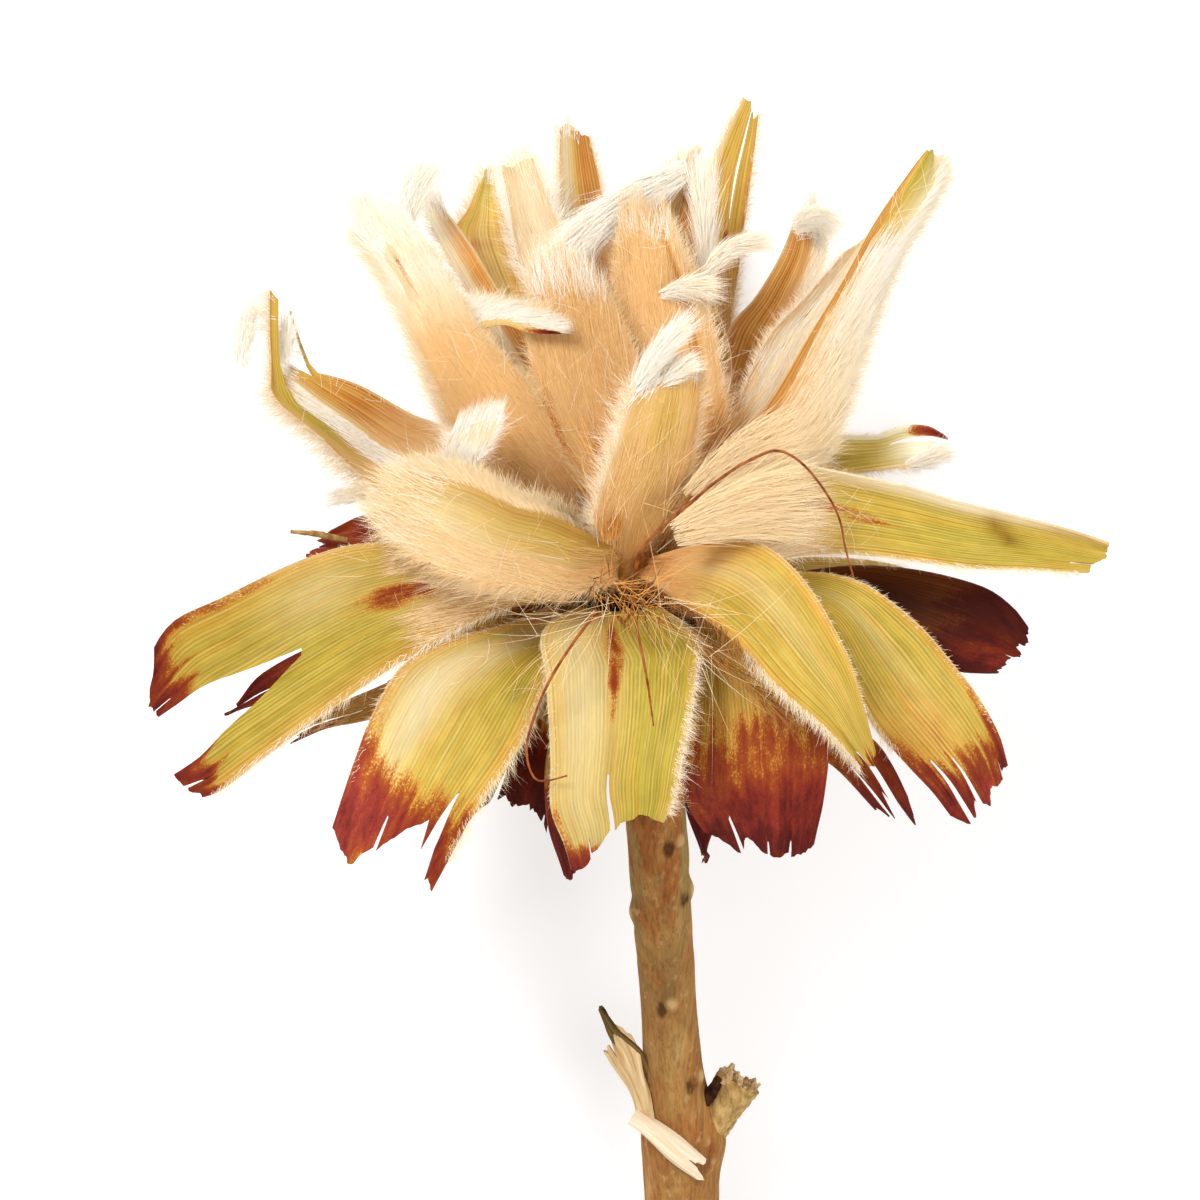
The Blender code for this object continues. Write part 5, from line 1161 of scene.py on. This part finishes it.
stem = {
    "radius": 3.65, "reach": 99.0, "around": 64, "along": 260,
    "knobs": [(30, 0.8, 0.6), (36.6, 0.3, 0.55), (38.9, 2.85, 0.55), (49.4, 1.45, 0.52), (58.8, 0.6, 0.6),
              (76, 2.2, 0.5), (86, 0.7, 0.55), (33, 1.6, 0.25), (44, 1.1, 0.25), (54, 2.4, 0.3),
              (62, 1.9, 0.25), (70, 1.0, 0.25), (92, 1.9, 0.3)],      # along, turn, height
}


def stemPoint(down):
    down = np.asarray(down, float)
    sway = 2.1 * np.clip((down - 9) / 16, 0, 1)
    slope = (39.0 - stem["radius"] * 1.2) / stem["reach"]
    return np.stack([0.07 * down + sway, -down, -slope * down], -1)


def stemRadius(down):
    swell = 0.85 / (1 + np.exp(-(down - 63) / 2.5))
    return stem["radius"] - 0.3 * np.exp(-((down - 50) / 9) ** 2) + swell


def makeStem():
    freshStart()
    around, along = stem["around"], stem["along"]
    bpy.ops.mesh.primitive_cylinder_add(vertices=around, radius=1, depth=1, end_fill_type="NGON")
    item = bpy.context.object
    item.name = "stem_bark"
    # rings between the two ends
    bpy.ops.object.mode_set(mode="EDIT")
    bm = bmesh.from_edit_mesh(item.data)
    uprights = [e for e in bm.edges if abs(e.verts[0].co.z - e.verts[1].co.z) > 0.5]
    bmesh.ops.subdivide_edges(bm, edges=uprights, cuts=along, use_grid_fill=True)
    bmesh.update_edit_mesh(item.data)
    bpy.ops.object.mode_set(mode="OBJECT")
    mesh = item.data
    co = np.empty(len(mesh.vertices) * 3)
    mesh.vertices.foreach_get("co", co)
    co = co.reshape(-1, 3)
    top = axis * (-9.4 - 0.3)
    first = -top[1]
    place = 0.5 - co[:, 2]                      # 0 under the head, 1 at the cut
    down = first + (stem["reach"] - first) * place
    line = stemPoint(down)
    line += (top - stemPoint(first)) * np.clip(1 - place * 17 / 5, 0, 1)[:, None]
    turn = np.arctan2(co[:, 1], co[:, 0])
    rough = np.random.default_rng(5)
    radius = stemRadius(down)
    bumps = np.zeros(len(co))
    for waves in ((3, 0.09, 0.10), (5, 0.21, 0.07), (9, 0.5, 0.045), (15, 0.9, 0.03), (23, 0.35, 0.025)):
        phase = rough.uniform(0, 6.28, 3)
        bumps += waves[2] * np.sin(turn * waves[0] + phase[0] + 1.3 * np.sin(down * waves[1] + phase[1])) \
            * (0.6 + 0.4 * np.sin(down * waves[1] * 1.7 + phase[2]))
    # it swells where the side branch grew
    apart = np.abs((turn - math.pi * 0.02 + math.pi) % (2 * math.pi) - math.pi)
    bumps += 1.5 * np.exp(-((down - 67) / 4) ** 2 - (apart / 0.7) ** 2)
    marks = np.zeros((len(co), 4))
    marks[:, 2] = 0.25 + 0.75 * ease((62 - down) / 40)
    for spot, at, height in stem["knobs"]:
        apart = np.abs((turn - at + math.pi) % (2 * math.pi) - math.pi)
        ring = np.hypot((down - spot) / 1.2, apart * radius / 1.0)
        bumps += height * np.exp(-ring ** 2) - 0.2 * height * np.exp(-((ring - 1.8) / 0.5) ** 2)
        if height > 0.5:    # the larger ones are worn pale on top and scarred below
            marks[:, 0] += np.exp(-(ring / 0.6) ** 4) * 0.8
            aside = (turn - at - 0.4 + math.pi) % (2 * math.pi) - math.pi
            beside = np.hypot((down - spot - 0.8) / 1.3, aside * radius / 0.9)
            marks[:, 1] += np.exp(-beside ** 2)
    radius = radius + bumps
    way = unit(stemPoint(down + 1) - stemPoint(down))
    across = unit(np.cross(way, np.array([0, 0, 1.0])))
    up = np.cross(across, way)
    inner = np.hypot(co[:, 0], co[:, 1])
    point = line + (-across * np.cos(turn)[:, None] + up * np.sin(turn)[:, None]) * (radius * inner)[:, None]
    point[:, 2] = np.maximum(point[:, 2], -middle[2] + 0.02)
    mesh.vertices.foreach_set("co", ((point + middle) * mm).ravel())
    layer = mesh.color_attributes.new("marks", "FLOAT_COLOR", "POINT")
    layer.data.foreach_set("color", np.clip(marks, 0, 1).ravel())
    bm = bmesh.new()
    bm.from_mesh(mesh)
    bmesh.ops.recalc_face_normals(bm, faces=bm.faces)
    bm.to_mesh(mesh)
    bm.free()
    mesh.materials.append(bark)
    bpy.ops.object.shade_smooth_by_angle(angle=math.radians(60))
    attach(item, "root")
    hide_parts("stem")
    return item


makeStem()

# torn bark standing off on the left, and a pale peeled chip lying across the stem
flaps = [
    dict(node="stem", name="torn_bark", slot="stem_bark", front=tornBark, back=tornBark, thick=0.45,
         a=[(2.6, -65.5, -20.8), (0.6, -60.8, -19.5), (-1.4, -57.6, -18.8), (-3, -54.8, -18.4)],
         b=[(3.8, -64.5, -18.8), (2.9, -60, -18.2), (2, -56.4, -18), (0.6, -54, -17.8)],
         end=(-2.2, -1.9, -0.9, -1.5, 0.2, 0.5, -0.3, -0.9), splits=[(-0.4, 0.8, 0.45)], jag=0.9, fray=0,
         cup=-0.12,
         cells=(26, 26), wave=0.4),
    dict(node="stem", name="torn_bark_point", slot="stem_bark", front=innerBark, back=innerBark, thick=0.5,
         a=[(1.8, -60, -19.2), (0.4, -57.2, -18.6), (-1.6, -54.4, -18), (-2.6, -51.2, -17.4)],
         b=[(3.6, -58.6, -18.6), (2.2, -56, -18), (-0.6, -53.6, -17.6), (-2.3, -51, -17.2)],
         end=(0, 0.4, 0), jag=0.2, fray=0, cup=0.3, cells=(12, 24), wave=0.2),
    dict(node="stem", name="peeled_chip", slot="stem_bark", front=chipWood, back=chipWood, thick=0.6,
         a=[(1.9, -63.4, -20.2), (4.2, -64.8, -18.6), (7.2, -66.9, -18.1), (10.2, -69.6, -19.4)],
         b=[(0.9, -65.2, -20.6), (3.2, -67, -18.9), (6, -69.6, -18.3), (9, -71.8, -19.8)],
         end=(-0.4, 0.1, 0.1, -1.0, -0.8, 0.2, 0.3, -0.1), splits=[(0.0, 0.86, 0.3)], jag=0.35, fray=0,
         cup=0.3,
         cells=(18, 26), wave=0.1),
]
for number, row in enumerate(flaps):
    rng = np.random.default_rng(300 + number)
    makeSheet(row, bractGrid(row, rng), rng)
print("stem made")


def tubes(name, bars, sides, material, node=None, rough=0.0, steps=8):
    # closed round bars along smooth lines, each a path with its radii, from one bevelled curve
    freshStart()
    curve = bpy.data.curves.new(name, "CURVE")
    curve.dimensions = "3D"
    curve.bevel_depth = mm
    curve.bevel_resolution = sides // 2 - 2
    curve.use_fill_caps = True
    for path, radii in bars:
        line = smoothLine(path, (len(path) - 1) * steps + 1, 1.0)
        radii = np.interp(np.linspace(0, 1, len(line)), np.linspace(0, 1, len(radii)), radii)
        spline = curve.splines.new("POLY")
        spline.points.add(len(line) - 1)
        for point, place, radius in zip(spline.points, line, radii):
            point.co = (*((place + middle) * mm), 1)
            point.radius = radius
    item = bpy.data.objects.new(name, curve)
    bpy.context.scene.collection.objects.link(item)
    bpy.context.view_layer.objects.active = item
    item.select_set(True)
    bpy.ops.object.convert(target="MESH")
    item = bpy.context.object
    bm = bmesh.new()
    bm.from_mesh(item.data)
    bmesh.ops.remove_doubles(bm, verts=bm.verts, dist=1e-7)
    shake = np.random.default_rng(len(name))
    for vert in bm.verts:
        vert.co += Vector(shake.normal(0, rough * mm, 3)) if rough else Vector()
    bmesh.ops.recalc_face_normals(bm, faces=bm.faces)
    bm.to_mesh(item.data)
    bm.free()
    item.data.materials.clear()
    item.data.materials.append(material)
    bpy.ops.object.shade_smooth_by_angle(angle=math.radians(60))
    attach(item, "root")
    if node:
        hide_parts(node)
    return item


# stub of a cut side branch, its end torn into pale fibres
stubPath = [(7.5, -69, -24.2), (10, -66, -23.6), (12.2, -63, -22.8), (14.2, -60, -22)]
tubes("side_stub", [(stubPath, (3.2, 2.7, 2.5, 2.85))], 24, stubBark, "stem", 0.06, 10)
rng = np.random.default_rng(41)
stubWay = unit(np.array([2, 3, 0.8]))
fibres = []
for number in range(34):
    turn, far = rng.uniform(0, 6.28), 2.55 * math.sqrt(rng.uniform(0.1, 1))
    beside = unit(np.cross(stubWay, (0, 0, 1)))
    start = np.array(stubPath[-1]) - stubWay * 0.9 + far * (
        beside * math.cos(turn) + np.cross(beside, stubWay) * math.sin(turn))
    thick = rng.uniform(0.25, 0.6)
    fibres.append(([start, start + stubWay * rng.uniform(0.6, 0.9),
                    start + stubWay * rng.uniform(0.9, 1.9) + rng.normal(0, 0.15, 3)],
                   (thick, thick, thick * 0.5)))
tubes("stub_torn_end", fibres, 8, paleWood, "stem", 0.04, 3)

tubes("left_splinter", [([(-33, 5.4, -1), (-36.5, 6.1, -1), (-39.8, 6.4, -1.2)], (0.3, 0.42, 0.2))], 8,
      stubBark, "bract_left_maroon", 0.03)

tubes("stub_hollow", [([(9.3, -64.2, -20.9), (10.4, -62.2, -20.4), (11.9, -59.6, -20.2)], (0.35, 0.75, 0.6))],
      10,
      darkWood, "stem", 0.05)

styles = {
    "style_long": [(1.3, -3.2, 10.7), (1.5, -1.6, 22), (2.2, 4, 31), (7, 8.8, 37), (12.5, 13.2, 38.5),
                   (16.8, 15.5, 38.3), (19, 15.7, 37.7), (21.6, 14, 36.8), (24.2, 10.7, 35.5),
                   (25.7, 7.7, 34.6), (26.4, 4.3, 34), (27.4, 0.8, 33)],
    "style_short": [(-0.8, -3.4, 10.8), (0.2, -4.4, 26), (1.3, -3.8, 31.5), (2.8, -10.5, 33),
                    (3.7, -16.7, 32.5)],
    "style_hooked": [(-3.4, -3.2, 10.3), (-3.2, -3.4, 25), (-5.9, -7, 32), (-8.9, -11.9, 31.5),
                     (-11, -17.4, 30), (-11.3, -20.4, 30), (-10.4, -22.9, 30.3), (-8.9, -23.2, 30.6),
                     (-6.5, -22.6, 31)],
}
for name, path in styles.items():
    tubes(name + "_fine", [(path, (0.26, 0.24, 0.2, 0.18, 0.16, 0.1))], 8, styleSkin, name)


freshStart()
bpy.ops.mesh.primitive_plane_add(size=6, location=(0, 0, 0))
table = bpy.context.object
table.name = "table_top"
tablePaint, tableShader = newMaterial("matt white table", 0.9, 0.1)
tableShader.inputs["Base Color"].default_value = (0.8, 0.8, 0.8, 1)
rays = addNode(tablePaint, "ShaderNodeLightPath").outputs
seen = addNode(tablePaint, "ShaderNodeMath", {0: rays["Is Camera Ray"], 1: rays["Is Glossy Ray"]},
               operation="MAXIMUM").outputs[0]
strength = addNode(tablePaint, "ShaderNodeMath", {0: seen, 1: 0.35}, operation="MULTIPLY").outputs[0]
glow = addNode(tablePaint, "ShaderNodeEmission", {"Color": "#ffffff", "Strength": strength})
both = addNode(tablePaint, "ShaderNodeAddShader", {0: tableShader.outputs[0], 1: glow.outputs[0]})
tablePaint.node_tree.links.new(both.outputs[0],
                               tablePaint.node_tree.nodes["Material Output"].inputs["Surface"])
table.data.materials.append(tablePaint)

world = bpy.data.worlds.new("soft daylight")
bpy.context.scene.world = world
world.use_nodes = True
sky = world.node_tree.nodes["Background"]
sky.inputs["Color"].default_value = (1, 1, 1, 1)
sky.inputs["Strength"].default_value = 0.72

lamps = {
    "key": ((-0.35, 0.45, 0.75), 0.35, 5.5),
    "fill": ((0.5, -0.3, 0.7), 0.5, 2.5),
}
for name, (place, size, power) in lamps.items():
    bpy.ops.object.light_add(type="AREA", location=place)
    lamp = bpy.context.object
    lamp.name = name + "_lamp"
    lamp.data.shape = "DISK"
    lamp.data.size = size
    lamp.data.energy = power
    lamp.rotation_euler = (Vector((0, 0.02, 0.04)) - Vector(place)).to_track_quat("-Z", "Y").to_euler()

bpy.ops.object.camera_add(location=((middle[0] - 2.64) * mm, (middle[1] - 1.8) * mm, middle[2] * mm + 2.4))
camera = bpy.context.object
camera.name = "view_camera"
camera.rotation_euler = (0, 0, 0)
camera.data.lens = 600
camera.data.sensor_width = 36
camera.data.clip_start = 0.05
camera.data.clip_end = 20
bpy.context.scene.camera = camera
bpy.context.scene.view_settings.view_transform = "Standard"
